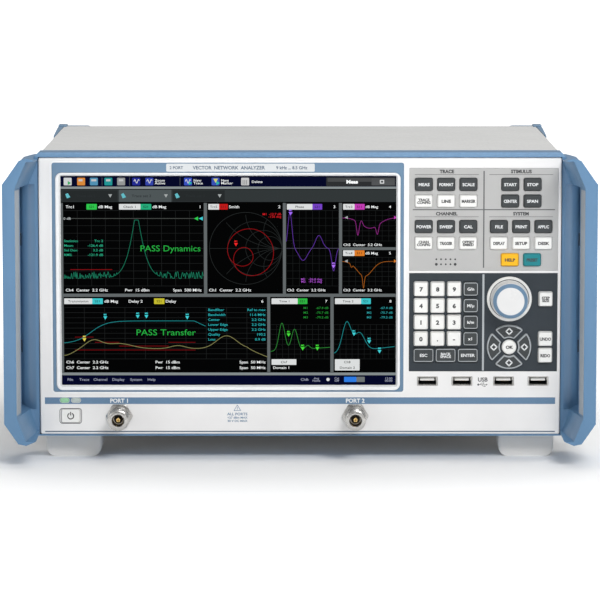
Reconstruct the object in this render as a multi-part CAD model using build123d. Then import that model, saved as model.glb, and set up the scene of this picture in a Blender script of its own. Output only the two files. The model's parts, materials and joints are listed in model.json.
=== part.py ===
from build123d import *
import os
from math import atan2, degrees

# A bench vector network analyser with two test ports, a touch screen, a key field and carrying handles.
# Millimetres. +X is the right-hand side seen from the front, the front faces -Y and +Z is up.
# The origin is the middle of the footprint, on the surface that the feet stand on.
# Each physical piece is a solid of its own; a node holds one piece, or a set of like pieces.

# ---------------------------------------------------------------- driving dimensions
WIDTH = 461.0  # over the handles
HEIGHT = 240.0  # feet to rear bumper tops
DEPTH = 351.0  # handle fronts to rear bumper ends
HANDLE_REACH = 42.0  # how far the handles stand in front of the front panel
FOOT_HEIGHT = 18.75
GAP = 0.1  # assembly gap between parts that are dropped into each other

FRONT = -DEPTH / 2 + HANDLE_REACH  # front face of the front panel
REAR = DEPTH / 2  # ends of the rear bumpers

# front frame and panel
FRAME_HALF = 205.5
FRAME_TOP = HEIGHT - 0.5
FRAME_BOTTOM = FOOT_HEIGHT
FRAME_BACK = FRONT + 35.5
FRAME_LIP = 0.5  # how far the frame stands in front of the panel
PANEL_HALF = 201.9
PANEL_TOP = 235.6
PANEL_BOTTOM = 19.8
PANEL_THICK = 5.0
PANEL_BACK = FRONT + PANEL_THICK

# screen
SCREEN_LEFT, SCREEN_RIGHT = -185.1, 74.5
SCREEN_BOTTOM, SCREEN_TOP = 58.3, 221.4
SURROUND_LEFT, SURROUND_RIGHT = -189.1, 77.7
SURROUND_BOTTOM, SURROUND_TOP = 54.4, 224.0
SURROUND_PROUD = 1.1
BEZEL_LEFT, BEZEL_RIGHT = -191.7, 80.3
BEZEL_BOTTOM, BEZEL_TOP = 53.2, 231.8
BEZEL_PROUD = 0.4
GLASS_FRONT = FRONT + 2.0
GLASS_THICK = 1.8
DISPLAY_THICK = 12.0

# key plates
PLATE_LEFT, PLATE_RIGHT = 84.6, 199.5
MENU_BOTTOM, MENU_TOP = 148.0, 227.6
ENTRY_BOTTOM, ENTRY_TOP = 69.3, 146.0
PLATE_FRONT = FRONT - 0.4
PLATE_BACK = FRONT + 4.0

# keys: every key has a cap, a collar that holds it behind its plate and a plunger
KEY_TRAVEL = 0.8
KEY_CLEARANCE = 0.2
COLLAR_WIDTH = 0.5
COLLAR_THICK = 1.0
COLLAR_GAP = 0.2
PLUNGER_RADIUS = 2.0
BOARD_FRONT = FRONT + 10.0
BOARD_THICK = 1.6
MENU_KEY = (13.8, 10.0)
MENU_PITCH = (17.2, 12.9)
MENU_LEFT_CENTRE, MENU_RIGHT_CENTRE = 112.8, 170.9
MENU_ROW_1, MENU_ROW_3 = 215.0, 182.3
ENTRY_KEY = (11.2, 11.7)
ENTRY_PITCH = (12.85, 12.95)
ENTRY_FIRST = (93.7, 133.8)
EDIT_KEY_WIDTH = 15.5
EDIT_PITCH = 17.15
SIDE_KEY_X = 190.2
MENU_PROUD, ENTRY_PROUD, DARK_PROUD = 2.0, 3.2, 1.4
KEY_INSET = 0.9

# knob and cursor keys share a column
KNOB_X, KNOB_Z = 162.2, 126.0
KNOB_BASE_RADIUS, KNOB_TOP_RADIUS = 14.8, 13.5
KNOB_LENGTH = 16.8
KNOB_CAP_RADIUS = 10.95
KNOB_RING_OUTER, KNOB_RING_INNER = 17.4, 15.3
KNOB_RING_PROUD = 1.7
KNOB_PUSH = 0.5
SHAFT_RADIUS = 3.0
RUNNING = 0.05  # radial clearance of a shaft in its hole
CURSOR_Z = 88.5
CURSOR_OUTER, CURSOR_INNER = 17.4, 7.0
CURSOR_SPLIT = 2.1
OK_RADIUS = 5.6

# port row
PORT_X = (-140.4, 42.9)
PORT_ROW_Z = 34.2
PORT_REACH = 25.0
THREAD_RADIUS = 7.94
THREAD_LENGTH = 12.0
NUT_RADIUS = 9.2
POWER_KEY_X = -178.4
POWER_KEY = (14.4, 10.6)
LIGHT_X = (-183.0, -174.2)
LIGHT_Z = 46.5
LIGHT = (7.1, 3.6)
GROOVE_Z = 22.0
USB_X = (98.95, 125.8, 158.1, 185.0)
USB_Z = 61.6

# handles
HANDLE_SEAT = FRONT + 8.5  # the handles reach inside the frame's sides down to here
HANDLE_SCREW_Y = FRAME_BACK - 8.0
GRIP_OUTER = 226.7
GRIP_INNER = 217.1
GRIP_BACK = -DEPTH / 2 + 23.0
STRIP_RISE = 2.2
HAND_GAP = 40.0
WELL_BOTTOM, WELL_TOP = 39.0, 215.0

# screws
SCREW_RADIUS = 2.0
HEAD_RADIUS = 3.8
HEAD_HEIGHT = 2.4

# housing
COVER_HALF = 202.0
COVER_TOP = HEIGHT - 1.4
SHEET = 1.5
RIM = 14.0  # how far the top and bottom covers fold down and up at the sides
REAR_PANEL_FRONT = REAR - 12.5
REAR_PANEL_BACK = REAR_PANEL_FRONT + SHEET
BUMPER_LENGTH = 112.0  # how far the bumpers reach forwards along the sides
BUMPER_RIDGE = 7.0  # width of the raised ridge on the upper bumpers
BUMPER_HALF = 206.0
BUMPER_X = 190.0
TRAY_HALF = 188.0

# rear panel
INLET_X, INLET_Z = 150.0, 62.0
SWITCH_X, SWITCH_Y = 112.0, REAR - 13.0
ROCKER_PIN = 1.0
ROCKER_TILT = 9.0
DATA_Z = 62.0
DATA_SOCKETS = (  # x, width, height, corner radius
    (-150.0, 46.0, 11.0, 2.0), (-66.0, 15.0, 12.6, 0.4), (22.0, 36.0, 11.0, 2.0))
USB_REAR_X = (-104.0, -30.0)
SIGNAL_X = (-30.0, 0.0, 30.0, 60.0, 90.0)
SIGNAL_Z = 190.0

# port cables
CABLE_START = 10.5  # the connectors' rear ends behind the front panel
CABLE_RUN = 24.0
CABLE_RISE = 18.0

# feet
FOOT_X = 177.0
FOOT_WIDTH = 43.5
FOOT_ROUNDING = 8.0
FRONT_FOOT_Y = (FRONT + 16.0, FRONT + 68.0)
REAR_FOOT_Y = (REAR - 66.0, REAR - 26.0)
LEG_WIDTH = 22.0
LEG_LENGTH = 34.0
LEG_THICK = 4.0
LEG_PIN_RADIUS = 1.5
LEG_AXIS = (FRONT + 24.0, 5.4)  # y, z
LEG_PLAY = 0.3

# fan
FAN_X, FAN_Z = -104.0, 166.0
FAN_SIZE = 92.0
FAN_THICK = 25.0
SPINDLE_RADIUS = 2.0

parts = {}


# ---------------------------------------------------------------- helpers
def block(x0, x1, y0, y1, z0, z1):
    """A box between two corners."""
    return Pos((x0 + x1) / 2, (y0 + y1) / 2, (z0 + z1) / 2) * Box(x1 - x0, y1 - y0, z1 - z0)


def facing(x, z, y):
    """A plane at depth y that looks out of the front: its local axes are +X and +Z."""
    return Plane(origin=(x, y, z), x_dir=(1, 0, 0), z_dir=(0, -1, 0))


def plate(x, z, width, height, front, back, radius=0.0):
    """A rectangular plate that faces the front, with its corners rounded."""
    outline = RectangleRounded(width, height, radius) if radius else Rectangle(width, height)
    return extrude(facing(x, z, back) * outline, back - front)


def panel(x0, x1, z0, z1, front, back, radius=0.0):
    """As plate, between its edges."""
    return plate((x0 + x1) / 2, (z0 + z1) / 2, x1 - x0, z1 - z0, front, back, radius)


def rod(x, z, radius, front, back):
    """A round bar along Y."""
    return extrude(facing(x, z, back) * Circle(radius), back - front)


def turned(x, z, base, profile):
    """A turned part on an axis along Y. The profile is (radius, distance in front of base) points."""
    face = make_face(Polyline(*profile, close=True))
    return facing(x, z, base).location * revolve(Plane.XZ * face, Axis.Z)


def front_edges(solid):
    """The edges round the face that is furthest to the front."""
    return solid.faces().sort_by(Axis.Y)[0].edges()


def both_sides(right):
    """A right-hand piece with its mirror image."""
    return [right, mirror(right, about=Plane.YZ)]


def add(name, *solids):
    """Files one node. A list is flattened, so a node may hold a set of like pieces."""
    flat = [s for item in solids for s in (item if isinstance(item, list) else [item])]
    parts[name] = flat[0] if len(flat) == 1 else Compound(children=[Part(s.wrapped) for s in flat])


# ---------------------------------------------------------------- keys
def key_hole(x, z, width, height, front, back):
    """The hole that a rectangular key moves in."""
    return plate(x, z, width + 2 * KEY_CLEARANCE, height + 2 * KEY_CLEARANCE, front, back, 1.7)


def key_stem(x, z, collar_front):
    """The plunger behind a key, which stops short of the board by a little more than its travel."""
    return rod(x, z, PLUNGER_RADIUS, collar_front + COLLAR_THICK, BOARD_FRONT - KEY_TRAVEL - 0.1)


def key(x, z, width, height, proud, inset=KEY_INSET, plate_front=PLATE_FRONT, plate_back=PLATE_BACK):
    """A rectangular key: straight inside its plate, tapered in front of it, with its collar and plunger."""
    collar_front = plate_back + COLLAR_GAP
    body = plate(x, z, width, height, plate_front, collar_front, 1.5)
    slope = degrees(atan2(inset, proud))
    outline = facing(x, z, plate_front) * RectangleRounded(width, height, 1.5)
    cap = fillet(front_edges(extrude(outline, proud, taper=slope)), 0.35)
    wing_width = width + 2 * (KEY_CLEARANCE + COLLAR_WIDTH)
    wings = plate(x, z, wing_width, height - 3.0, collar_front, collar_front + COLLAR_THICK, 1.0)
    return body + cap + wings + key_stem(x, z, collar_front)


def cursor_outline(grow=0.0):
    """The upper cursor key seen from the front, about the middle of the cursor field."""
    reach = 2 * CURSOR_OUTER
    split = CURSOR_SPLIT - grow * 2**0.5
    wedge = make_face(Polyline((0, split), (reach, reach + split), (-reach, reach + split), close=True))
    sector = wedge & (Circle(CURSOR_OUTER + grow) - Circle(CURSOR_INNER - grow))
    return fillet(sector.vertices(), 1.4 + grow)


def cursor_solid(turn, front, back, grow=0.0, taper=0.0):
    """A cursor key's outline, turned to its place and extruded."""
    outline = facing(KNOB_X, CURSOR_Z, back) * Rot(0, 0, turn) * cursor_outline(grow)
    return extrude(outline, back - front, taper=taper)


def cursor_key(turn):
    """One of the four cursor keys; turn is counted anticlockwise from the upper one, seen from the front."""
    collar_front = PLATE_BACK + COLLAR_GAP
    body = cursor_solid(turn, PLATE_FRONT, collar_front)
    cap = fillet(front_edges(cursor_solid(turn, PLATE_FRONT - DARK_PROUD, PLATE_FRONT, taper=20)), 0.3)
    middle = Vector(0, (CURSOR_OUTER + CURSOR_INNER) / 2).rotate(Axis.Z, turn)
    at = (KNOB_X + middle.X, CURSOR_Z + middle.Y)
    collar = cursor_solid(turn, collar_front, collar_front + COLLAR_THICK, grow=KEY_CLEARANCE + COLLAR_WIDTH)
    collar -= rod(KNOB_X, CURSOR_Z, CURSOR_INNER, collar_front - 1, collar_front + COLLAR_THICK + 1)
    return body + cap + collar + key_stem(*at, collar_front)


def round_key(x, z, radius, proud):
    """The round confirm key in the middle of the cursor field, with a slightly domed top."""
    collar_front = PLATE_BACK + COLLAR_GAP
    collar = rod(x, z, radius + KEY_CLEARANCE + COLLAR_WIDTH, collar_front, collar_front + COLLAR_THICK)
    cap = turned(x, z, collar_front, [
        (0, 0), (radius, 0), (radius, collar_front - PLATE_FRONT + proud - 1.0),
        (radius - 0.8, collar_front - PLATE_FRONT + proud - 0.1), (0, collar_front - PLATE_FRONT + proud)])
    return cap + collar + key_stem(x, z, collar_front)


def menu_columns(centre, count):
    """The X of each key in a menu group."""
    return [centre + (i - (count - 1) / 2) * MENU_PITCH[0] for i in range(count)]


MENU_LEFT = menu_columns(MENU_LEFT_CENTRE, 3)
MENU_RIGHT = menu_columns(MENU_RIGHT_CENTRE, 3)
MENU_PAIR = menu_columns(MENU_RIGHT_CENTRE, 2)
MENU_ROW_2 = MENU_ROW_1 - MENU_PITCH[1]
MENU_ROW_4 = MENU_ROW_3 - MENU_PITCH[1]
MENU_ROW_5 = MENU_ROW_4 - MENU_PITCH[1]
ENTRY_COLUMNS = [ENTRY_FIRST[0] + i * ENTRY_PITCH[0] for i in range(4)]
ENTRY_ROWS = [ENTRY_FIRST[1] - i * ENTRY_PITCH[1] for i in range(5)]
EDIT_COLUMNS = [ENTRY_COLUMNS[0] + (EDIT_KEY_WIDTH - ENTRY_KEY[0]) / 2 + i * EDIT_PITCH for i in range(3)]
SIDE_ROWS = (KNOB_Z, ENTRY_ROWS[3], ENTRY_ROWS[4])

MENU_SETS = {
    "menu_keys_row_1": [(x, MENU_ROW_1) for x in MENU_LEFT + MENU_PAIR],
    "menu_keys_row_2_light": [(x, MENU_ROW_2) for x in MENU_LEFT],
    "menu_keys_row_2_dark": [(x, MENU_ROW_2) for x in MENU_PAIR],
    "menu_keys_row_3": [(x, MENU_ROW_3) for x in MENU_LEFT + MENU_RIGHT],
    "menu_keys_row_4": [(x, MENU_ROW_4) for x in MENU_LEFT + MENU_RIGHT],
    "help_key": [(MENU_PAIR[0], MENU_ROW_5)],
    "preset_key": [(MENU_PAIR[1], MENU_ROW_5)],
}
ENTRY_SETS = {
    **{f"digit_keys_row_{i + 1}": [(x, ENTRY_ROWS[i]) for x in ENTRY_COLUMNS[:3]] for i in range(4)},
    "side_keys": [(SIDE_KEY_X, z) for z in SIDE_ROWS],
}
UNIT_SET = [(ENTRY_COLUMNS[3], z) for z in ENTRY_ROWS[:4]]
EDIT_SET = [(x, ENTRY_ROWS[4]) for x in EDIT_COLUMNS]
CURSOR_TURNS = {"cursor_up_key": 0, "cursor_left_key": 90, "cursor_down_key": 180, "cursor_right_key": 270}


def make_keys():
    """Every key, one node for each row or single key."""
    for name, places in MENU_SETS.items():
        add(name, [key(x, z, *MENU_KEY, MENU_PROUD) for x, z in places])
    for name, places in ENTRY_SETS.items():
        add(name, [key(x, z, *ENTRY_KEY, ENTRY_PROUD) for x, z in places])
    add("unit_keys", [key(x, z, *ENTRY_KEY, DARK_PROUD, 0.5) for x, z in UNIT_SET])
    add("edit_keys", [key(x, z, EDIT_KEY_WIDTH, ENTRY_KEY[1], DARK_PROUD, 0.5) for x, z in EDIT_SET])
    for name, turn in CURSOR_TURNS.items():
        add(name, cursor_key(turn))
    add("ok_key", round_key(KNOB_X, CURSOR_Z, OK_RADIUS, 2.4))
    add("power_key", key(POWER_KEY_X, PORT_ROW_Z, *POWER_KEY, 0.7, 0.3, FRONT, PANEL_BACK))


# ---------------------------------------------------------------- front
def make_front_frame():
    """The painted ring that carries the front panel and the handles."""
    outer = block(-FRAME_HALF, FRAME_HALF, FRONT - FRAME_LIP, FRAME_BACK, FRAME_BOTTOM, FRAME_TOP)
    outer = chamfer(outer.edges().filter_by(Axis.Y).group_by(Axis.Z)[-1], 3.5)
    crest = outer.faces().sort_by(Axis.Z)[-1].edges().sort_by(Axis.Y)[0]
    outer = chamfer(crest, 3.0)
    flange = FRAME_BACK - 10.0
    half = PANEL_HALF + 0.5
    pocket = panel(-half, half, PANEL_BOTTOM - 0.2, PANEL_TOP + 0.4, FRONT - 2, flange)
    opening = panel(-196.0, 196.0, 27.0, 231.0, flange - 1, FRAME_BACK + 1)
    step = block(-FRAME_HALF - 1, FRAME_HALF + 1, FRONT + 4.5, FRAME_BACK + 1, COVER_TOP, FRAME_TOP + 1)
    ring = outer - pocket - opening - step
    for notch in both_sides(block(PANEL_HALF + 0.4, FRAME_HALF + 1, FRONT - 2, HANDLE_SEAT, 20.4, 234.2)):
        ring -= notch
    for x, z in handle_screws():
        ring -= across(x, z, SCREW_RADIUS + RUNNING, 40)
    add("front_frame", ring)
    return ring


def make_front_panel():
    """The light moulding that everything on the front is set in."""
    body = panel(-PANEL_HALF, PANEL_HALF, PANEL_BOTTOM, PANEL_TOP, FRONT, PANEL_BACK, 1.5)
    body = chamfer(front_edges(body), 0.7)
    through = (FRONT - 2, PANEL_BACK + 1)
    cuts = [
        panel(BEZEL_LEFT - GAP, BEZEL_RIGHT + GAP, BEZEL_BOTTOM - GAP, BEZEL_TOP + GAP, *through, 2.0),
        panel(PLATE_LEFT - GAP, PLATE_RIGHT + GAP, MENU_BOTTOM - GAP, MENU_TOP + GAP, *through),
        panel(PLATE_LEFT - GAP, PLATE_RIGHT + GAP, ENTRY_BOTTOM - GAP, ENTRY_TOP + GAP, *through),
        plate(POWER_KEY_X, PORT_ROW_Z, POWER_KEY[0] + 0.7, POWER_KEY[1] + 0.7, *through, 1.9),
        panel(-198.5, 197.8, GROOVE_Z - 0.45, GROOVE_Z + 0.45, FRONT - 1, FRONT + 0.9),
    ]
    light_hole = (LIGHT[0] + 2 * GAP, LIGHT[1] + 2 * GAP)
    cuts += [plate(x, LIGHT_Z, *light_hole, *through, LIGHT[1] / 2) for x in LIGHT_X]
    cuts += [plate(x, USB_Z, 16.2, 7.4, *through, 0.8) for x in USB_X]
    cuts += [rod(x, PORT_ROW_Z, THREAD_RADIUS + 0.2, *through) for x in PORT_X]
    for cut in cuts:
        body -= cut
    for x in USB_X:
        pad = plate(x, USB_Z, 20.4, 11.2, FRONT - 0.35, FRONT, 2.0)
        body += pad - plate(x, USB_Z, 16.2, 7.4, FRONT - 1, FRONT + 1, 0.8)
    add("front_panel", body)


def make_screen():
    """The blue bezel, the pale surround, the touch glass and the display behind it."""
    surround_hole = (SURROUND_LEFT - GAP, SURROUND_RIGHT + GAP, SURROUND_BOTTOM - GAP, SURROUND_TOP + GAP)
    bezel = panel(BEZEL_LEFT, BEZEL_RIGHT, BEZEL_BOTTOM, BEZEL_TOP, FRONT - BEZEL_PROUD, PANEL_BACK, 1.9)
    bezel = chamfer(front_edges(bezel), 0.3)
    bezel -= panel(*surround_hole, FRONT - 2, PANEL_BACK + 1, 5.0)
    add("screen_bezel", bezel)

    surround = panel(SURROUND_LEFT, SURROUND_RIGHT, SURROUND_BOTTOM, SURROUND_TOP,
                     FRONT - SURROUND_PROUD, GLASS_FRONT, 4.9)
    surround = fillet(front_edges(surround), 0.9)
    opening = panel(SCREEN_LEFT, SCREEN_RIGHT, SCREEN_BOTTOM, SCREEN_TOP, FRONT - 3, GLASS_FRONT + 1, 0.8)
    flare = loft([
        facing((SCREEN_LEFT + SCREEN_RIGHT) / 2, (SCREEN_BOTTOM + SCREEN_TOP) / 2,
               FRONT - SURROUND_PROUD - 0.05)
        * RectangleRounded(SCREEN_RIGHT - SCREEN_LEFT + 2.6, SCREEN_TOP - SCREEN_BOTTOM + 2.6, 2.1),
        facing((SCREEN_LEFT + SCREEN_RIGHT) / 2, (SCREEN_BOTTOM + SCREEN_TOP) / 2, GLASS_FRONT - 0.6)
        * RectangleRounded(SCREEN_RIGHT - SCREEN_LEFT, SCREEN_TOP - SCREEN_BOTTOM, 0.8)])
    add("screen_surround", surround - opening - flare)

    glass_back = GLASS_FRONT + GLASS_THICK
    add("touch_glass", panel(SURROUND_LEFT + 0.8, SURROUND_RIGHT - 0.8, SURROUND_BOTTOM + 0.8,
                             SURROUND_TOP - 0.8, GLASS_FRONT, glass_back, 3.0))
    case = panel(SURROUND_LEFT + 1.5, SURROUND_RIGHT - 1.5, SURROUND_BOTTOM + 1.5, SURROUND_TOP - 1.5,
                 glass_back, glass_back + DISPLAY_THICK, 1.0)
    tabs = [panel(x - 9, x + 9, SURROUND_BOTTOM + 1.5, SURROUND_TOP - 1.5, glass_back + DISPLAY_THICK,
                  glass_back + DISPLAY_THICK + 2.0) for x in (-150.0, -55.0, 40.0)]
    for tab in tabs:
        case += tab
    add("display_module", case)


def make_key_plates():
    """The two plates that the keys come through, and the ring round the knob."""
    menu = panel(PLATE_LEFT, PLATE_RIGHT, MENU_BOTTOM, MENU_TOP, PLATE_FRONT, PLATE_BACK)
    menu = chamfer(front_edges(menu), 0.25)
    for places in MENU_SETS.values():
        for x, z in places:
            menu -= key_hole(x, z, *MENU_KEY, PLATE_FRONT - 1, PLATE_BACK + 1)
    for row in (0, 1):
        for column in range(5):
            menu -= rod(105.5 + column * 3.65, MENU_ROW_5 - 1.6 - 3.9 * (row - 0.5), 0.75,
                        PLATE_FRONT - 1, PLATE_FRONT + 1.6)
    add("menu_key_plate", menu)

    entry = panel(PLATE_LEFT, PLATE_RIGHT, ENTRY_BOTTOM, ENTRY_TOP, PLATE_FRONT, PLATE_BACK)
    entry = chamfer(front_edges(entry), 0.25)
    through = (PLATE_FRONT - 1, PLATE_BACK + 1)
    for x, z in [place for places in ENTRY_SETS.values() for place in places] + UNIT_SET:
        entry -= key_hole(x, z, *ENTRY_KEY, *through)
    for x, z in EDIT_SET:
        entry -= key_hole(x, z, EDIT_KEY_WIDTH, ENTRY_KEY[1], *through)
    for turn in CURSOR_TURNS.values():
        entry -= cursor_solid(turn, *through, grow=KEY_CLEARANCE)
    entry -= rod(KNOB_X, CURSOR_Z, OK_RADIUS + KEY_CLEARANCE, *through)
    entry -= rod(KNOB_X, KNOB_Z, SHAFT_RADIUS + 1.0, *through)
    add("entry_key_plate", entry)

    base = PLATE_FRONT
    add("knob_ring", turned(KNOB_X, KNOB_Z, base, [
        (KNOB_RING_INNER, 0), (KNOB_RING_OUTER, 0), (KNOB_RING_OUTER, KNOB_RING_PROUD - 0.8),
        (KNOB_RING_OUTER - 0.8, KNOB_RING_PROUD), (KNOB_RING_INNER + 0.3, KNOB_RING_PROUD),
        (KNOB_RING_INNER, KNOB_RING_PROUD - 0.3)]))


def make_knob():
    """The knob, the shaft that it turns on and the encoder that reads it."""
    base = PLATE_FRONT - KNOB_PUSH - 0.2
    socket = KNOB_LENGTH - 4.0
    groove = 0.5
    add("knob", turned(KNOB_X, KNOB_Z, base, [
        (SHAFT_RADIUS + RUNNING, 0), (KNOB_BASE_RADIUS, 0), (KNOB_BASE_RADIUS, 1.5),
        (KNOB_TOP_RADIUS + 0.35, KNOB_LENGTH - 1.0), (KNOB_TOP_RADIUS - 0.6, KNOB_LENGTH),
        (KNOB_CAP_RADIUS + 0.5, KNOB_LENGTH), (KNOB_CAP_RADIUS, KNOB_LENGTH - groove),
        (KNOB_CAP_RADIUS - 0.35, KNOB_LENGTH - groove), (KNOB_CAP_RADIUS - 0.7, KNOB_LENGTH + 0.15),
        (4.0, KNOB_LENGTH - 0.15), (0, KNOB_LENGTH - 0.3),
        (0, socket), (SHAFT_RADIUS + RUNNING, socket)]))
    shaft_back = BOARD_FRONT - KNOB_PUSH - 0.3
    add("knob_shaft", rod(KNOB_X, KNOB_Z, SHAFT_RADIUS, base - socket + 0.3, shaft_back))
    encoder = plate(KNOB_X, KNOB_Z, 14, 14, PLATE_BACK + 0.4, BOARD_FRONT, 1.0)
    add("encoder", encoder - rod(KNOB_X, KNOB_Z, SHAFT_RADIUS + RUNNING, PLATE_BACK, BOARD_FRONT + 1))


def make_front_electronics():
    """The boards behind the keys, the status lights and the data sockets."""
    back = BOARD_FRONT + BOARD_THICK
    add("key_board",
        panel(PLATE_LEFT + 1, PLATE_RIGHT - 1, ENTRY_BOTTOM + 2, MENU_TOP - 1, BOARD_FRONT, back),
        panel(-192.0, -164.0, 25.0, 52.0, BOARD_FRONT, back))
    lights = []
    for x in LIGHT_X:
        lens = plate(x, LIGHT_Z, *LIGHT, FRONT - 0.25, BOARD_FRONT - 2.0, LIGHT[1] / 2 - 0.01)
        lights.append(fillet(front_edges(lens), 0.2))
    add("status_lights", lights)

    sockets = []
    for x in USB_X:
        shell = plate(x, USB_Z, 14.6, 6.2, FRONT + 0.6, FRONT + 17.0, 0.5)
        shell += plate(x, USB_Z, 15.8, 7.0, FRONT + 0.2, FRONT + 0.8, 0.6)
        shell -= plate(x, USB_Z, 13.0, 5.2, FRONT - 1, FRONT + 15.5, 0.3)
        flare = facing(x, USB_Z, FRONT + 1.4) * Rectangle(13.0, 5.2)
        shell -= extrude(flare, 1.3, taper=-30)
        tongue = panel(x - 5.55, x + 5.55, USB_Z + 0.1, USB_Z + 1.95, FRONT + 2.2, FRONT + 15.5)
        sockets += [shell, tongue]
    add("usb_sockets", sockets)


def make_ports():
    """The two coaxial test ports, their panel nuts and inserts, and the rigid lines behind them."""
    bodies, nuts, inserts, cables = [], [], [], []
    tip = PORT_REACH + PANEL_THICK
    shoulder = tip - THREAD_LENGTH
    for x in PORT_X:
        bodies.append(turned(x, PORT_ROW_Z, PANEL_BACK, [
            (2.0, -CABLE_START), (6.0, -CABLE_START), (6.0, -3.0), (10.5, -3.0), (10.5, 0),
            (THREAD_RADIUS, 0),
            (THREAD_RADIUS, 9.5), (7.0, 10.5), (7.0, shoulder - 0.01), (THREAD_RADIUS, shoulder),
            (THREAD_RADIUS, tip - 0.01), (7.3, tip + 0.25), (4.7, tip), (4.05, tip - 0.8), (4.05, tip - 9.1),
            (3.5, tip - 9.1), (3.5, tip - 15.5), (2.0, tip - 15.5)]))
        hexagon = facing(x, PORT_ROW_Z, FRONT) * RegularPolygon(NUT_RADIUS, 6, major_radius=False)
        nut = extrude(hexagon, 2.6) & turned(x, PORT_ROW_Z, FRONT, [
            (0, 0), (10.4, 0), (10.4, 1.8), (9.3, 2.6), (0, 2.6)])
        nuts.append(nut - rod(x, PORT_ROW_Z, THREAD_RADIUS, FRONT - 5, FRONT + 1))
        contact = rod(x, PORT_ROW_Z, 1.52, PANEL_BACK - tip + 4.0, PANEL_BACK - tip + 15.5)
        contact -= rod(x, PORT_ROW_Z, 0.83, PANEL_BACK - tip + 3.0, PANEL_BACK - tip + 8.5)
        bead = rod(x, PORT_ROW_Z, 3.5, PANEL_BACK - tip + 9.1, PANEL_BACK - tip + 13.0)
        inserts += [contact, bead - rod(x, PORT_ROW_Z, 1.52, PANEL_BACK - tip, PANEL_BACK)]
        start = PANEL_BACK + CABLE_START
        high = PORT_ROW_Z + CABLE_RISE
        path = FilletPolyline((x, start, PORT_ROW_Z), (x, start + 9.0, PORT_ROW_Z), (x, start + 15.0, high),
                              (x, start + CABLE_RUN, high), radius=6)
        cables.append(sweep(Plane(origin=path @ 0, z_dir=path % 0) * Circle(1.8), path))
    add("port_connectors", bodies)
    add("port_nuts", nuts)
    add("port_inserts", inserts)
    add("port_cables", cables)


# ---------------------------------------------------------------- handles
def outline_at(y, points):
    """A closed outline in a plane at depth y, from (x, z) points."""
    return facing(0, 0, y) * make_face(Polyline(*points, close=True))


def in_plan(points, low, high):
    """An upright solid between two heights, from (x, y) points."""
    return Pos(0, 0, low) * extrude(make_face(Polyline(*points, close=True)), high - low)


def handle_screws():
    """Where the screws between handle and frame are, as (x of the frame's side, z)."""
    return [(side * FRAME_HALF, z) for side in (-1, 1) for z in (30.0, 224.0)]


def across(x, z, radius, length):
    """A round bar along X at the depth of the handle screws, centred on x."""
    return Pos(x, HANDLE_SCREW_Y, z) * Rot(0, 90, 0) * Cylinder(radius, length)


def right_handle(frame):
    """The right-hand handle and the strip on it: an upright grip on two arms, with a hand gap behind it."""
    grip_front = -DEPTH / 2
    root = FRONT + 2.5
    tail = FRONT + 43.5
    side = WIDTH / 2
    nose = [(202.5, 236.6), (207.8, 238.3), (213.7, 236.6), (GRIP_OUTER, 218.1),
            (GRIP_OUTER, 34.2), (216.0, 18.6), (210.0, 17.4), (202.5, 20.6)]
    base = [(202.5, 234.0), (207.5, 235.2), (216.0, 233.2), (side, 214.5),
            (side, 37.5), (218.5, 21.5), (210.0, 19.6), (202.5, 20.6)]
    body = loft([outline_at(grip_front, nose), outline_at(root, base)], ruled=True)
    body += extrude(outline_at(tail, base), tail - root)
    body -= block(190, FRAME_HALF, HANDLE_SEAT, tail + 1, 0, HEIGHT)
    body -= in_plan([(side + 1, tail - 20), (side + 1, tail + 1), (FRAME_HALF + 5, tail + 1)], 0, HEIGHT)
    mouth = [(190, 236.0), (208.4, 236.0), (GRIP_INNER, 215.9), (GRIP_INNER, 38.0), (210.2, 20.4),
             (190, 20.4)]
    throat = [(190, 233.0), (202.5, 233.0), (209.8, 214.9), (209.8, 39.0), (204.0, 22.2), (190, 22.2)]
    body -= loft([outline_at(grip_front - 1, mouth), outline_at(root, throat)], ruled=True)
    well = [(190, grip_front - 2), (GRIP_INNER, grip_front - 2), (GRIP_INNER, grip_front),
            (GRIP_INNER - STRIP_RISE, grip_front + 16.0), (GRIP_INNER - STRIP_RISE, GRIP_BACK),
            (223.5, GRIP_BACK), (223.5, tail - 14.0), (219.6, tail - 9.0), (210.0, FRONT + 7.0),
            (202.4, FRONT), (190, FRONT)]
    body -= in_plan(well, WELL_BOTTOM, WELL_TOP)
    gap_middle = (GRIP_BACK + HAND_GAP / 2, (WELL_BOTTOM + WELL_TOP) / 2)
    sideways = Plane(origin=(side + 5, *gap_middle), x_dir=(0, 1, 0), z_dir=(1, 0, 0))
    hand_gap = RectangleRounded(HAND_GAP, WELL_TOP - WELL_BOTTOM - 8.0, 9.0)
    body -= extrude(sideways * hand_gap, -15.0)
    for low in (80.0, 164.0):
        body -= block(217.0, 219.2, tail - 14.0, tail - 4.0, low, low + 10.0)
    strip_plan = [(GRIP_INNER - 0.12, grip_front + 0.6), (GRIP_INNER - STRIP_RISE, grip_front + 16.0),
                  (GRIP_INNER - STRIP_RISE + 1.2, grip_front + 16.2), (GRIP_INNER + 1.0, grip_front + 0.6)]
    strip = in_plan(strip_plan, WELL_BOTTOM + 1.5, WELL_TOP - 1.5)
    for x, z in handle_screws():
        body -= across(x, z, SCREW_RADIUS + RUNNING, 60)
        body -= across(x + 25.5 * (1 if x > 0 else -1), z, HEAD_RADIUS + 0.2, 35)
    return body - strip - frame, strip


def make_handles(frame):
    """Both handles with the pale strips on their inner faces."""
    handle, strip = right_handle(frame)
    add("right_handle", handle)
    add("left_handle", mirror(handle, about=Plane.YZ))
    add("handle_inlays", both_sides(strip))


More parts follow.
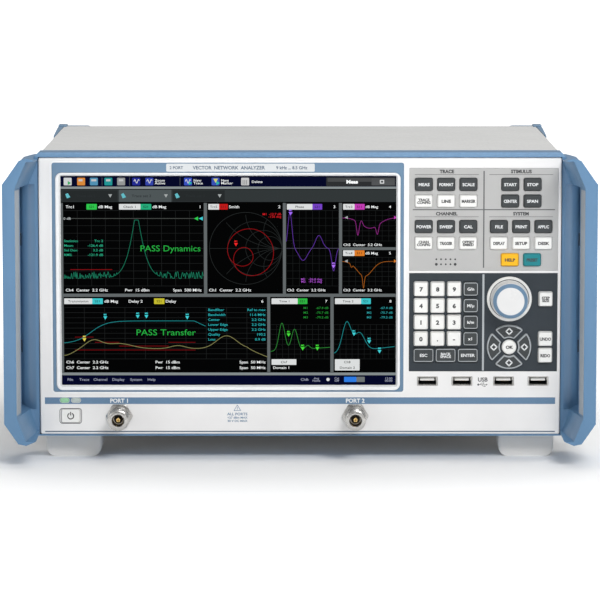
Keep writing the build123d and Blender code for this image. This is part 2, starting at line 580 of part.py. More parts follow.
# ---------------------------------------------------------------- housing
def side_cover():
    """The right-hand side cover: a sheet with rows of upright ventilation slots and a fold at the back."""
    front, back = FRAME_BACK, REAR_PANEL_FRONT
    low, high = FOOT_HEIGHT + RIM, COVER_TOP - RIM
    sheet = block(COVER_HALF - SHEET, COVER_HALF, front, back, low, high)
    for row in range(4):
        for column in range(13):
            middle = (front + 34.0 + column * 8.5, 64.0 + row * 42.0)
            plane = Plane(origin=(COVER_HALF - 5, *middle), x_dir=(0, 1, 0), z_dir=(1, 0, 0))
            sheet -= extrude(plane * SlotOverall(30, 3.2, rotation=90), 10)
    return sheet + block(COVER_HALF - 10, COVER_HALF - SHEET, back - 8, back - 8 + SHEET, low + 2, high - 2)


def make_covers():
    """Top and bottom covers with folded rims, and the two side covers between them."""
    front, back = FRAME_BACK, REAR_PANEL_FRONT + SHEET
    top = block(-COVER_HALF, COVER_HALF, front, back, COVER_TOP - SHEET, COVER_TOP)
    top = chamfer(top.edges().filter_by(Axis.Y).group_by(Axis.Z)[-1], 0.9)
    bottom = block(-COVER_HALF, COVER_HALF, front, back, FOOT_HEIGHT, FOOT_HEIGHT + SHEET)
    for side in both_sides(block(COVER_HALF - SHEET, COVER_HALF, front, back, 0, HEIGHT)):
        top += side & block(-HEIGHT, HEIGHT, front, back, COVER_TOP - RIM, COVER_TOP - SHEET)
        bottom += side & block(-HEIGHT, HEIGHT, front, back, FOOT_HEIGHT + SHEET, FOOT_HEIGHT + RIM)
    for x, y in foot_screws():
        bottom -= Pos(x, y, FOOT_HEIGHT) * Cylinder(SCREW_RADIUS + RUNNING, 10)
    add("top_cover", top)
    add("bottom_cover", bottom)
    add("side_covers", both_sides(side_cover()))


def rear_cut(x, z, width, height, radius=0.0):
    """A hole through the rear panel."""
    return plate(x, z, width, height, REAR_PANEL_FRONT - 1, REAR_PANEL_BACK + 1, radius)


def fan_guard_slots():
    """The curved slots in front of the fan: rings that four bars cross."""
    y0, y1 = REAR_PANEL_FRONT - 1, REAR_PANEL_BACK + 1
    bars = plate(FAN_X, FAN_Z, 100, 4.0, y0, y1) + plate(FAN_X, FAN_Z, 4.0, 100, y0, y1)
    slots = []
    for inner in (8.0, 16.5, 25.0, 33.5):
        slots += (rod(FAN_X, FAN_Z, inner + 6.0, y0, y1) - rod(FAN_X, FAN_Z, inner, y0, y1) - bars).solids()
    return slots


def make_rear():
    """The rear panel with its fan guard and holes for sockets, and the corner bumpers."""
    rear = panel(-COVER_HALF + SHEET + GAP, COVER_HALF - SHEET - GAP, FOOT_HEIGHT + SHEET + GAP,
                 COVER_TOP - SHEET - GAP, REAR_PANEL_FRONT, REAR_PANEL_BACK)
    cuts = fan_guard_slots()
    cuts += [rear_cut(INLET_X, INLET_Z, 28.0, 20.5, 2.0), rear_cut(SWITCH_X, INLET_Z, 13.2, 19.2, 0.5)]
    cuts += [rear_cut(x, DATA_Z, width + 0.2, height + 0.2, radius + 0.1)
             for x, width, height, radius in DATA_SOCKETS]
    cuts += [rear_cut(x, DATA_Z, 16.2, 15.2) for x in USB_REAR_X]
    cuts += [rod(x, SIGNAL_Z, 6.1, REAR_PANEL_FRONT - 1, REAR_PANEL_BACK + 1) for x in SIGNAL_X]
    cuts += [rod(x, z, SCREW_RADIUS + RUNNING, REAR_PANEL_FRONT - 1, REAR_PANEL_BACK + 1)
             for x, z in bumper_screws()]
    for cut in cuts:
        rear -= cut
    add("rear_panel", rear)
    add("rear_bumpers", both_sides(bumper(HEIGHT, -1)) + both_sides(bumper(FOOT_HEIGHT + 0.3, 1)))


def bumper(edge, inward):
    """A right-hand corner bumper. edge is its outer Z and inward is the way to the middle."""
    cap_edge = min(edge, COVER_TOP)
    low, high = sorted((cap_edge, edge + inward * 27.0))
    cap = panel(BUMPER_HALF - 28.0, BUMPER_HALF, low, high, REAR_PANEL_BACK, REAR, 4.0)
    cap = chamfer(cap.faces().sort_by(Axis.Y)[-1].edges(), 1.6)
    front = REAR_PANEL_BACK - BUMPER_LENGTH
    nose = [(COVER_HALF, front), (COVER_HALF + 1.0, front), (BUMPER_HALF, REAR_PANEL_BACK - 20),
            (BUMPER_HALF, REAR_PANEL_BACK + 1), (COVER_HALF, REAR_PANEL_BACK + 1)]
    cap += in_plan(nose, *sorted((cap_edge, edge + inward * 24.0)))
    if inward < 0:
        inner = BUMPER_HALF - BUMPER_RIDGE
        ridge = block(inner, BUMPER_HALF, REAR_PANEL_BACK - 9, REAR - 3, COVER_TOP, HEIGHT)
        cap += chamfer(ridge.edges().filter_by(Axis.X).group_by(Axis.Z)[-1], 0.8)
    at = (BUMPER_X, edge + inward * 13.5)
    cap -= rod(*at, SCREW_RADIUS + RUNNING, REAR_PANEL_BACK - 1, REAR + 1)
    return cap - rod(*at, HEAD_RADIUS + 0.2, REAR - HEAD_HEIGHT - 1.0, REAR + 1)


def bumper_screws():
    """Where the bumper screws are, as (x, z)."""
    return [(side * BUMPER_X, z) for side in (-1, 1) for z in (FOOT_HEIGHT + 13.8, HEIGHT - 13.5)]


def switch_pivot(radius, length):
    """A bar along X on the axis of the mains switch."""
    return Pos(SWITCH_X, SWITCH_Y, INLET_Z) * Rot(0, 90, 0) * Cylinder(radius, length)


def make_mains():
    """The mains inlet with its pins, the frame of the switch and the rocker in it."""
    front, back = REAR_PANEL_FRONT, REAR_PANEL_BACK
    inlet = plate(INLET_X, INLET_Z, 27.8, 20.3, front - 20.0, back + 0.4, 1.9)
    inlet += plate(INLET_X, INLET_Z, 32.0, 24.5, back, back + 2.0, 2.0)
    inlet -= plate(INLET_X, INLET_Z, 24.4, 16.6, front - 14.5, back + 3.0, 1.5)
    pins = [plate(INLET_X + dx, INLET_Z + dz, 2.0, 4.0, front - 14.5, back - 2.0)
            for dx, dz in ((-7.0, -2.0), (0.0, 2.0), (7.0, -2.0))]
    frame = plate(SWITCH_X, INLET_Z, 13.0, 19.0, front - 14.0, back + 0.4, 0.4)
    frame += plate(SWITCH_X, INLET_Z, 15.5, 21.5, back, back + 1.5, 1.0)
    frame -= plate(SWITCH_X, INLET_Z, 10.6, 16.6, front - 9.0, back + 3.0)
    add("mains_inlet", inlet, pins, frame - switch_pivot(ROCKER_PIN + RUNNING, 12.6))
    profile = [(-3.4, -6.4), (3.6, -7.4), (2.0, 0), (3.6, 7.4), (-3.4, 6.4)]
    side = Plane(origin=(SWITCH_X - 5.0, SWITCH_Y, INLET_Z), x_dir=(0, 1, 0), z_dir=(1, 0, 0))
    rocker = extrude(side * Rot(0, 0, -ROCKER_TILT) * make_face(Polyline(*profile, close=True)), 10.0)
    add("mains_switch", rocker + switch_pivot(ROCKER_PIN, 12.4))


def make_rear_sockets():
    """Data and signal sockets on the rear panel."""
    front, back = REAR_PANEL_FRONT, REAR_PANEL_BACK
    sockets = []
    for x, width, height, radius in DATA_SOCKETS:
        socket = plate(x, DATA_Z, width, height, front - 14, back + 0.8, radius)
        sockets.append(socket - plate(x, DATA_Z, width - 2.4, height - 2.4, front - 9, back + 2, radius))
    for x in USB_REAR_X:
        block_of_two = plate(x, DATA_Z, 16.0, 15.0, front - 14, back + 0.6)
        for z in (DATA_Z - 3.7, DATA_Z + 3.7):
            block_of_two -= plate(x, z, 12.6, 5.1, front - 9, back + 2)
            block_of_two += plate(x, z + 0.9, 10.8, 1.8, front - 9.5, back - 0.4)
        sockets.append(block_of_two)
    for x in SIGNAL_X:
        sockets.append(turned(x, SIGNAL_Z, front, [
            (0, 9.0), (6.0, 9.0), (6.0, -SHEET), (7.5, -SHEET), (7.5, -SHEET - 2.0), (4.8, -SHEET - 2.0),
            (4.8, -SHEET - 11.0), (4.1, -SHEET - 11.0), (4.1, -SHEET - 4.0), (1.0, -SHEET - 4.0),
            (1.0, -SHEET - 9.0), (0, -SHEET - 9.0)]))
    add("rear_sockets", sockets)


# ---------------------------------------------------------------- feet
def foot(x, y0, y1):
    """One foot: a block with rounded lower edges, and a counterbored hole up through its rear end."""
    body = block(x - FOOT_WIDTH / 2, x + FOOT_WIDTH / 2, y0, y1, 0, FOOT_HEIGHT)
    body = fillet(body.edges().filter_by(Axis.Z), 3.0)
    profile = plate(x, FOOT_HEIGHT / 2 + 10, FOOT_WIDTH, FOOT_HEIGHT + 20, y0, y1, FOOT_ROUNDING)
    return body & profile


def foot_screws():
    """Where the screws of the feet are, as (x, y)."""
    return [(side * FOOT_X, y) for side in (-1, 1) for y in (FRONT_FOOT_Y[1] - 4.6, sum(REAR_FOOT_Y) / 2)]


def leg_bar(x, radius, length):
    """A bar along X on the axis of a tilt leg."""
    return Pos(x, *LEG_AXIS) * Rot(0, 90, 0) * Cylinder(radius, length)


def tilt_leg(x):
    """A fold-out leg in a front foot, folded, with its two stub pins in one piece."""
    y, z = LEG_AXIS
    half = LEG_THICK / 2
    leg = leg_bar(x, half + 0.5, LEG_WIDTH)
    leg += block(x - LEG_WIDTH / 2, x + LEG_WIDTH / 2, y, y + LEG_LENGTH, z - half, z + half)
    recess = LEG_WIDTH / 2 - 5
    leg -= block(x - recess, x + recess, y + 8, y + LEG_LENGTH - 8, z - half - 1, z - half + 1.2)
    leg = fillet(leg.edges().filter_by(Axis.Z).sort_by(Axis.Y)[-2:], 4.0)
    return leg + leg_bar(x, LEG_PIN_RADIUS, LEG_WIDTH + 6.0)


def make_feet():
    """Four feet and the two tilt legs that fold into the front ones."""
    feet = []
    y, z = LEG_AXIS
    for x in (-FOOT_X, FOOT_X):
        front = foot(x, *FRONT_FOOT_Y)
        pocket = LEG_WIDTH / 2 + LEG_PLAY
        front -= block(x - pocket, x + pocket, y - 3.4, y + LEG_LENGTH + 0.8, -1, z + 3.2)
        front -= leg_bar(x, LEG_PIN_RADIUS + RUNNING, LEG_WIDTH + 6.4)
        feet += [front, foot(x, *REAR_FOOT_Y)]
    for x, y in foot_screws():
        holes = Pos(x, y, FOOT_HEIGHT) * Cylinder(SCREW_RADIUS + RUNNING, 60)
        holes += Pos(x, y, 0) * Cylinder(HEAD_RADIUS - 0.5, 20)
        feet = [f - holes for f in feet]
    add("feet", feet)
    add("left_tilt_leg", tilt_leg(-FOOT_X))
    add("right_tilt_leg", tilt_leg(FOOT_X))


def screw(length, head=HEAD_RADIUS):
    """A pan-head screw with its head above the origin and its shank below, with a cross in the head."""
    body = Pos(0, 0, -length / 2) * Cylinder(SCREW_RADIUS, length)
    cap = Pos(0, 0, HEAD_HEIGHT / 2) * Cylinder(head, HEAD_HEIGHT)
    cap = fillet(cap.edges().sort_by(Axis.Z)[-1], 0.8)
    for turn in (0, 90):
        cap -= Pos(0, 0, HEAD_HEIGHT) * Rot(0, 0, turn) * Box(2 * head - 2.6, 0.9, 2.2)
    return body + cap


def make_screws():
    """The screws of the handles, the bumpers and the feet."""
    screws = []
    for x, z in handle_screws():
        side = 1 if x > 0 else -1
        screws.append(Pos(x + side * 8.0, HANDLE_SCREW_Y, z) * Rot(0, 90 * side, 0) * screw(14.0))
    for x, z in bumper_screws():
        screws.append(Pos(x, REAR - HEAD_HEIGHT - 1.0, z) * Rot(-90, 0, 0) * screw(12.0))
    for x, y in foot_screws():
        screws.append(Pos(x, y, 10.0) * Rot(180, 0, 0) * screw(14.0, HEAD_RADIUS - 0.7))
    add("screws", screws)


# ---------------------------------------------------------------- inside
def make_chassis():
    """The tray that the inner units are fixed to, between frame and rear panel."""
    front, back = FRAME_BACK + 1.0, REAR_PANEL_FRONT
    floor = FOOT_HEIGHT + SHEET
    tray = block(-TRAY_HALF, TRAY_HALF, front, back, floor, floor + SHEET)
    for wall in both_sides(block(TRAY_HALF - SHEET, TRAY_HALF, front, back, floor, 226.0)):
        tray += wall
    for x, y in foot_screws():
        tray -= Pos(x, y, floor) * Cylinder(SCREW_RADIUS + RUNNING, 10)
    for x, z in handle_screws():
        tray -= across(x, z, 5.0, 60)
    add("chassis", tray)


def make_fan():
    """The fan behind the guard in the rear panel: a square frame with a spindle, and the rotor on it."""
    back = REAR_PANEL_FRONT
    front = back - FAN_THICK
    half = FAN_SIZE / 2
    frame = plate(FAN_X, FAN_Z, FAN_SIZE, FAN_SIZE, front, back, 4.0)
    frame -= rod(FAN_X, FAN_Z, half - 2.5, front - 1, back + 1)
    for dx in (-1, 1):
        for dz in (-1, 1):
            frame -= rod(FAN_X + dx * 41.2, FAN_Z + dz * 41.2, 2.2, front - 1, back + 1)
    spider = rod(FAN_X, FAN_Z, 16.0, front, front + 3.0)
    spider += plate(FAN_X, FAN_Z, 2 * half - 2, 5.0, front, front + 3.0)
    spider += plate(FAN_X, FAN_Z, 5.0, 2 * half - 2, front, front + 3.0)
    spider += rod(FAN_X, FAN_Z, SPINDLE_RADIUS, front, back - 3.0)
    add("fan_frame", frame + spider)

    hub_front, hub_back = front + 4.0, back - 2.0
    rotor = rod(FAN_X, FAN_Z, 17.0, hub_front, hub_back)
    blade = Pos(30.0, 0, 0) * Rot(38, 0, 0) * Box(29.0, 23.0, 1.6)
    depth = (hub_back - hub_front) / 2
    blades = [facing(FAN_X, FAN_Z, hub_back - depth).location * Rot(0, 0, turn * 360 / 7) * blade
              for turn in range(7)]
    for vane in blades:
        rotor += vane & rod(FAN_X, FAN_Z, half - 4.5, hub_front, hub_back)
    rotor -= rod(FAN_X, FAN_Z, SPINDLE_RADIUS + RUNNING, hub_front - 1, back - 2.8)
    add("fan_rotor", rotor)


def make_inner_units():
    """Measuring unit behind the ports, processor board above it and the power supply."""
    floor = FOOT_HEIGHT + 2 * SHEET
    unit_front = PANEL_BACK + CABLE_START + CABLE_RUN
    unit = block(-166.0, 70.0, unit_front, unit_front + 130.0, floor, 74.0)
    unit = chamfer(unit.edges().filter_by(Axis.Z), 3.0)
    for column in range(9):
        left = -156.0 + column * 25.0
        unit -= block(left, left + 18.0, unit_front + 12, unit_front + 118, 72.8, 75.0)
    add("measuring_unit", unit)

    board = block(-166.0, 88.0, -88.0, 84.0, 84.0, 85.6)
    for x in (-158.0, 60.0):
        for y in (-80.0, 24.0):
            board += Pos(x, y, 79.0) * Cylinder(3.0, 10.0)
    sink = block(-70.0, -22.0, -40.0, 8.0, 85.6, 89.0)
    for fin in range(9):
        sink += block(-70.0 + fin * 5.8, -68.4 + fin * 5.8, -40.0, 8.0, 89.0, 110.0)
    board += sink
    chips = ((-130, -50, 30, 30, 3.0), (-120, 40, 40, 22, 6.0), (20, -52, 70, 14, 12.0),
             (20, -30, 70, 8, 30.0), (40, 44, 34, 34, 3.2), (-40, 56, 24, 20, 8.0))
    for x, y, width, depth, height in chips:
        board += block(x - width / 2, x + width / 2, y - depth / 2, y + depth / 2, 85.6, 85.6 + height)
    add("processor_board", board)

    supply = block(92.0, 170.0, -60.0, 136.0, floor, 96.0)
    supply = chamfer(supply.edges().filter_by(Axis.Y), 2.0)
    for row in range(7):
        for column in range(10):
            supply -= Pos(105.0 + row * 8.6, -40.0 + column * 16.0, 95.0) * Cylinder(2.4, 4.0)
    add("power_supply", supply)


make_keys()
make_handles(make_front_frame())
make_front_panel()
make_screen()
make_key_plates()
make_knob()
make_front_electronics()
make_ports()
make_covers()
make_rear()
make_mains()
make_rear_sockets()
make_feet()
make_screws()
make_chassis()
make_fan()
make_inner_units()

os.makedirs("parts", exist_ok=True)
for name, shape in parts.items():
    export_step(shape, f"parts/{name}.step")
print(len(parts), "nodes")
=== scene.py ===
import json
import random
from math import atan2, cos, exp, radians, sin, sqrt, tau

import bmesh
import bpy
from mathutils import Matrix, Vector


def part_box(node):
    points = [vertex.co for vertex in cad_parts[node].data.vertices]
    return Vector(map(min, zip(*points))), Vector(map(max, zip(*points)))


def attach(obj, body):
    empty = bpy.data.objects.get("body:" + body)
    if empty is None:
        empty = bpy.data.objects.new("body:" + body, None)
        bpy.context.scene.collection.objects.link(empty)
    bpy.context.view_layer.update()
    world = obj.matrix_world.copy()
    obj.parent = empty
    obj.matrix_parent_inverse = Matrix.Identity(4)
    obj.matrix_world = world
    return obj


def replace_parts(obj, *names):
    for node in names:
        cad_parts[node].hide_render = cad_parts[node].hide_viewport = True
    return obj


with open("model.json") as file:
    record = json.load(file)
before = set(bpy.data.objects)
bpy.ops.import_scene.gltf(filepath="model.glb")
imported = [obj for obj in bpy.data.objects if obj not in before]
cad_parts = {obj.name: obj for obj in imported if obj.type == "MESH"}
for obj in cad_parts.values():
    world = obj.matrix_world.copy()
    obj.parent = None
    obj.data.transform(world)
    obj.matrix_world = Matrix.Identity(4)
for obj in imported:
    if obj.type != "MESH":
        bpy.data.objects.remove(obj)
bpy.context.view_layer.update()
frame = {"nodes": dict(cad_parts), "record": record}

# Looks of the bench network analyser: materials, lettering, the picture on the screen, and finer
# versions of the pieces that the eye meets first. Metres; the front faces -Y and +Z is up.

MM = 0.001
nodes = frame["nodes"]


# ---------------------------------------------------------------- places, read from the frame
def span(node):
    """(x0, x1, y0, y1, z0, z1) of a CAD node."""
    low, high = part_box(node)
    return low.x, high.x, low.y, high.y, low.z, high.z


def islands(node):
    """The boxes of a node's separate solids, as (low, high), from left to right and then downwards."""
    bm = bmesh.new()
    bm.from_mesh(nodes[node].data)
    bmesh.ops.remove_doubles(bm, verts=bm.verts, dist=1e-6)
    seen, boxes = set(), []
    for start in bm.verts:
        if start in seen:
            continue
        seen.add(start)
        queue, group = [start], []
        while queue:
            vert = queue.pop()
            group.append(vert.co)
            for edge in vert.link_edges:
                other = edge.other_vert(vert)
                if other not in seen:
                    seen.add(other)
                    queue.append(other)
        low = Vector([min(co[i] for co in group) for i in range(3)])
        high = Vector([max(co[i] for co in group) for i in range(3)])
        boxes.append((low.copy(), high.copy()))
    bm.free()
    return sorted(boxes, key=lambda b: (round(b[0].x, 3), -b[0].z))


def face_centre(box):
    """(x, z) of the middle of a box, seen from the front."""
    low, high = box
    return (low.x + high.x) / 2, (low.z + high.z) / 2


PANEL = span("front_panel")
PANEL_FRONT = PANEL[2] + 0.35 * MM  # the raised pads round the data sockets stand 0.35 mm proud
MENU = span("menu_key_plate")
ENTRY = span("entry_key_plate")
GLASS = span("touch_glass")
BEZEL = span("screen_bezel")


# ---------------------------------------------------------------- node materials
def socket(node, name, value):
    node.inputs[name].default_value = value


class Surface:
    """A procedural material built round one Principled shader."""

    def __init__(self, name, colour, roughness, metallic=0.0, coat=0.0, specular=0.5):
        self.material = bpy.data.materials.new(name)
        self.material.use_nodes = True
        self.tree = self.material.node_tree
        self.shader = self.tree.nodes["Principled BSDF"]
        self.colour = (*colour, 1.0)
        socket(self.shader, "Base Color", self.colour)
        socket(self.shader, "Roughness", roughness)
        socket(self.shader, "Metallic", metallic)
        socket(self.shader, "Coat Weight", coat)
        socket(self.shader, "Coat Roughness", 0.12)
        socket(self.shader, "Specular IOR Level", specular)
        self.place = self.tree.nodes.new("ShaderNodeTexCoord")
        self.roughness = roughness
        self.height = None

    def node(self, kind, **values):
        made = self.tree.nodes.new(kind)
        for name, value in values.items():
            setattr(made, name, value)
        return made

    def link(self, a, b):
        self.tree.links.new(a, b)

    def stretched(self, scale):
        """Object coordinates, stretched."""
        mapping = self.node("ShaderNodeMapping")
        socket(mapping, "Scale", scale)
        self.link(self.place.outputs["Object"], mapping.inputs["Vector"])
        return mapping.outputs["Vector"]

    def noise(self, scale, detail=3.0, stretch=(1, 1, 1)):
        noise = self.node("ShaderNodeTexNoise")
        socket(noise, "Scale", scale)
        socket(noise, "Detail", detail)
        self.link(self.stretched(stretch), noise.inputs["Vector"])
        return noise.outputs["Fac"]

    def spread(self, factor, low, high, start=0.3, end=0.7):
        """Maps a factor on to a range."""
        ranged = self.node("ShaderNodeMapRange")
        socket(ranged, "From Min", start)
        socket(ranged, "From Max", end)
        socket(ranged, "To Min", low)
        socket(ranged, "To Max", high)
        self.link(factor, ranged.inputs["Value"])
        return ranged.outputs["Result"]

    def mix_in(self, factor, colour):
        """Mixes a colour over the base colour."""
        mix = self.node("ShaderNodeMix", data_type="RGBA")
        base = self.shader.inputs["Base Color"]
        if base.links:
            self.link(base.links[0].from_socket, mix.inputs["A"])
        else:
            socket(mix, "A", self.colour)
        mix.inputs["B"].default_value = (*colour, 1.0)
        self.link(factor, mix.inputs["Factor"])
        self.link(mix.outputs["Result"], base)
        return self

    def mottled(self, scale=35.0, share=0.06, detail=4.0):
        """Faint, broad differences of shade, as old mouldings and paint have."""
        darker = [channel * (1 - 2.2 * share) for channel in self.colour[:3]]
        return self.mix_in(self.spread(self.noise(scale, detail), 0.0, 0.8), darker)

    def uneven_gloss(self, scale=60.0, share=0.16, stretch=(1, 1, 1)):
        """Roughness that wanders a little."""
        low, high = self.roughness * (1 - share), min(1.0, self.roughness * (1 + share))
        self.link(self.spread(self.noise(scale, 5.0, stretch), low, high), self.shader.inputs["Roughness"])
        return self

    def bump(self, factor, distance, strength=0.5):
        bump = self.node("ShaderNodeBump")
        socket(bump, "Distance", distance)
        socket(bump, "Strength", strength)
        self.link(factor, bump.inputs["Height"])
        if self.height is not None:
            self.link(self.height, bump.inputs["Normal"])
        self.height = bump.outputs["Normal"]
        self.link(self.height, self.shader.inputs["Normal"])
        return self

    def grain(self, size, distance, strength=0.5, stretch=(1, 1, 1)):
        """A fine texture of the given size in metres."""
        return self.bump(self.noise(1.0 / size, 2.0, stretch), distance, strength)

    def edge_highlight(self, colour, amount=0.5):
        """Painted highlight: edges painted lighter, as though they caught the light."""
        geometry = self.node("ShaderNodeNewGeometry")
        edge = self.spread(geometry.outputs["Pointiness"], 0.0, amount, 0.53, 0.62)
        broken = self.spread(self.noise(420.0, 5.0), 0.2, 1.0)
        both = self.node("ShaderNodeMath", operation="MULTIPLY")
        self.link(edge, both.inputs[0])
        self.link(broken, both.inputs[1])
        return self.mix_in(both.outputs[0], colour)


def painted(name, colour, roughness=0.42, texture=0.0006):
    """Powder coat: a fine orange peel, faint mottling and edges painted a little lighter as a highlight."""
    lighter = [min(1.0, c * 1.35 + 0.03) for c in colour]
    surface = Surface(name, colour, roughness, coat=0.05, specular=0.35)
    # The lighter edges are a painted highlight.
    surface.mottled(22.0, 0.035).edge_highlight(lighter, 0.35).uneven_gloss(80.0)
    return surface.grain(texture, 0.00004, 0.35).grain(0.004, 0.00005, 0.08).material


def moulded(name, colour, roughness=0.45, texture=0.00035, depth=0.00002, coat=0.0):
    """Moulded plastic: a spark-eroded texture and faint flow marks."""
    surface = Surface(name, colour, roughness, coat=coat, specular=0.3)
    surface.mottled(30.0, 0.03).uneven_gloss(120.0)
    return surface.grain(texture, depth, 0.3).grain(0.012, 0.00004, 0.05).material


def metal(name, colour, roughness, stretch=(1, 1, 1), line=0.0004, depth=0.000006):
    """Bare metal with machining or brushing lines along the stretched axis."""
    surface = Surface(name, colour, roughness, metallic=1.0)
    darker = [c * 0.72 for c in colour]
    surface.mix_in(surface.spread(surface.noise(90.0, 6.0), 0.0, 0.35), darker)
    surface.uneven_gloss(300.0, 0.3, stretch)
    return surface.grain(line, depth, 0.5, stretch).material


def printed(name, colour, roughness=0.5):
    """Screen-printed ink: slightly uneven in density."""
    surface = Surface(name, colour, roughness)
    surface.mottled(900.0, 0.05).uneven_gloss(500.0, 0.2)
    return surface.grain(0.0002, 0.000004, 0.3).material


def light(name, colour, strength):
    """An ink of the picture on the screen: lit cells of a fine pixel raster."""
    surface = Surface(name, (0.0008, 0.0008, 0.0008), 0.6, specular=0.0)
    socket(surface.shader, "Emission Color", (*colour, 1.0))
    raster = surface.node("ShaderNodeTexWave", wave_type="BANDS", bands_direction="Z")
    socket(raster, "Scale", 600.0)
    surface.link(surface.place.outputs["Object"], raster.inputs["Vector"])
    level = surface.spread(raster.outputs["Fac"], strength * 0.82, strength, 0.0, 1.0)
    surface.link(level, surface.shader.inputs["Emission Strength"])
    return surface.material


BLUE = (0.112, 0.230, 0.385)
MATERIALS = {
    "blue_paint": painted("blue_paint", BLUE, 0.40),
    "blue_plastic": moulded("blue_plastic", (0.142, 0.240, 0.355), 0.38),
    "name_plate_pale": moulded("name_plate_pale", (0.64, 0.665, 0.68), 0.45),
    "panel_white": moulded("panel_white", (0.82, 0.815, 0.812), 0.42),
    "surround_white": moulded("surround_white", (0.86, 0.87, 0.88), 0.28, coat=0.15),
    "plate_grey": moulded("plate_grey", (0.46, 0.46, 0.455), 0.5),
    "plate_dark": moulded("plate_dark", (0.028, 0.037, 0.046), 0.5),
    "key_white": moulded("key_white", (0.82, 0.82, 0.80), 0.36, coat=0.1),
    "key_dark": moulded("key_dark", (0.044, 0.050, 0.053), 0.42),
    "key_yellow": moulded("key_yellow", (0.92, 0.47, 0.004), 0.36, coat=0.05),
    "key_teal": moulded("key_teal", (0.003, 0.215, 0.245), 0.36, coat=0.05),
    "cover_grey": painted("cover_grey", (0.60, 0.60, 0.59), 0.5),
    "feet_grey": moulded("feet_grey", (0.78, 0.77, 0.75), 0.6, 0.0006, 0.00004),
    "strip_grey": moulded("strip_grey", (0.40, 0.44, 0.48), 0.55, 0.0005, 0.00004),
    "black_plastic": moulded("black_plastic", (0.018, 0.018, 0.020), 0.45),
    "steel": metal("steel", (0.60, 0.61, 0.62), 0.34, (1, 12, 1)),
    "nickel": metal("nickel", (0.56, 0.55, 0.53), 0.27, (1, 14, 1), 0.0003),
    "brass": metal("brass", (0.80, 0.56, 0.22), 0.24, (1, 10, 1)),
    "copper": metal("copper", (0.80, 0.44, 0.26), 0.28),
    "aluminium": metal("aluminium", (0.74, 0.75, 0.77), 0.38, (14, 1, 1)),
    "board_green": moulded("board_green", (0.010, 0.095, 0.035), 0.35, coat=0.3),
    "knob_grey": moulded("knob_grey", (0.72, 0.72, 0.72), 0.30, coat=0.2),
}
INK_DARK = printed("ink_dark", (0.035, 0.037, 0.04))
INK_GREY = printed("ink_grey", (0.11, 0.112, 0.115))
INK_WHITE = printed("ink_white", (0.80, 0.82, 0.83))
INK_SLATE = printed("ink_slate", (0.075, 0.12, 0.18))
INK_BLUE = printed("ink_blue", (0.118, 0.222, 0.355))
RIM_GREY = moulded("rim_grey", (0.42, 0.45, 0.47), 0.35)
SOCKET_WHITE = moulded("socket_white", (0.75, 0.75, 0.72), 0.4)
# Painted shade: a dark colour for the deep inside of the coaxial ports, their bore walls and beads.
BORE_SHADE = moulded("bore_shade_dark", (0.030, 0.022, 0.014), 0.5)
# Painted shade: near-black for the inside of the data sockets.
SOCKET_SHADE = printed("socket_shade_black", (0.012, 0.013, 0.015), 0.8)

for entry in frame["record"]["subparts"]:
    slot_name = entry["material_slot"]
    if slot_name in MATERIALS:
        slots = nodes[entry["node"]].material_slots
        for index in range(len(slots)):
            slots[index].material = MATERIALS[slot_name]


# ---------------------------------------------------------------- mesh helpers
def finished(name, bm, materials, body="housing", angle=32.0):
    """Turns a bmesh into a piece: shaded smooth below the angle, with its materials, riding on a body."""
    bmesh.ops.recalc_face_normals(bm, faces=bm.faces)
    mesh = bpy.data.meshes.new(name)
    for face in bm.faces:
        face.smooth = True
    for edge in bm.edges:
        if len(edge.link_faces) == 2 and edge.calc_face_angle(0.0) > radians(angle):
            edge.smooth = False
    bm.to_mesh(mesh)
    bm.free()
    for material in materials:
        mesh.materials.append(material)
    piece = bpy.data.objects.new(name, mesh)
    bpy.context.scene.collection.objects.link(piece)
    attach(piece, body)
    return piece


def welded(node):
    """The faces of a CAD node, without doubled corners and without seams across flat faces."""
    bm = bmesh.new()
    bm.from_mesh(nodes[node].data)
    bmesh.ops.remove_doubles(bm, verts=bm.verts, dist=2e-6)
    bmesh.ops.dissolve_limit(bm, angle_limit=radians(0.6), verts=bm.verts, edges=bm.edges)
    return bm


def softened(node, width, angle=30.0, segments=3):
    """A copy of a CAD node with its sharp edges rounded, which stands for the node."""
    bm = welded(node)
    sharp = [e for e in bm.edges if len(e.link_faces) == 2 and e.calc_face_angle(0.0) > radians(angle)]
    bmesh.ops.bevel(bm, geom=sharp, offset=width, segments=segments, profile=0.5, affect="EDGES",
                    clamp_overlap=True)
    slot_name = slot_of(node)
    piece = finished(node + "_finish", bm, [MATERIALS[slot_name]], body_of(node))
    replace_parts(piece, node)


def slot_of(node):
    return next(s["material_slot"] for s in frame["record"]["subparts"] if s["node"] == node)


def body_of(node):
    return next(b for b, members in frame["record"]["behaviour"]["bodies"].items() if node in members)


def joined(bm, rings, index=0):
    """Adds the faces between each ring of corners and the next."""
    for a, b in zip(rings, rings[1:]):
        for i in range(len(a)):
            j = (i + 1) % len(a)
            bm.faces.new((a[i], a[j], b[j], b[i])).material_index = index


def circle(bm, x, y, z, radius, segments):
    """Adds the corners of a circle round an axis along Y."""
    return [bm.verts.new((x + radius * cos(tau * i / segments), y, z + radius * sin(tau * i / segments)))
            for i in range(segments)]


def lathe(bm, x, z, base, profile, segments):
    """Adds a turned shape: (radius, distance in front of base) points in mm, round an axis along Y."""
    rings = [circle(bm, x, base - ahead * MM, z, radius * MM, segments) for radius, ahead in profile]
    joined(bm, rings)
    bm.faces.new(rings[0])
    bm.faces.new(rings[-1])


def rounded(x0, x1, z0, z1, radius, steps=6):
    """The outline of a rounded rectangle, as (x, z) points."""
    points = []
    for cx, cz, start in ((x1 - radius, z1 - radius, 0), (x0 + radius, z1 - radius, 90),
                          (x0 + radius, z0 + radius, 180), (x1 - radius, z0 + radius, 270)):
        for step in range(steps + 1):
            turn = radians(start + 90 * step / steps)
            points.append((cx + radius * cos(turn), cz + radius * sin(turn)))
    return points


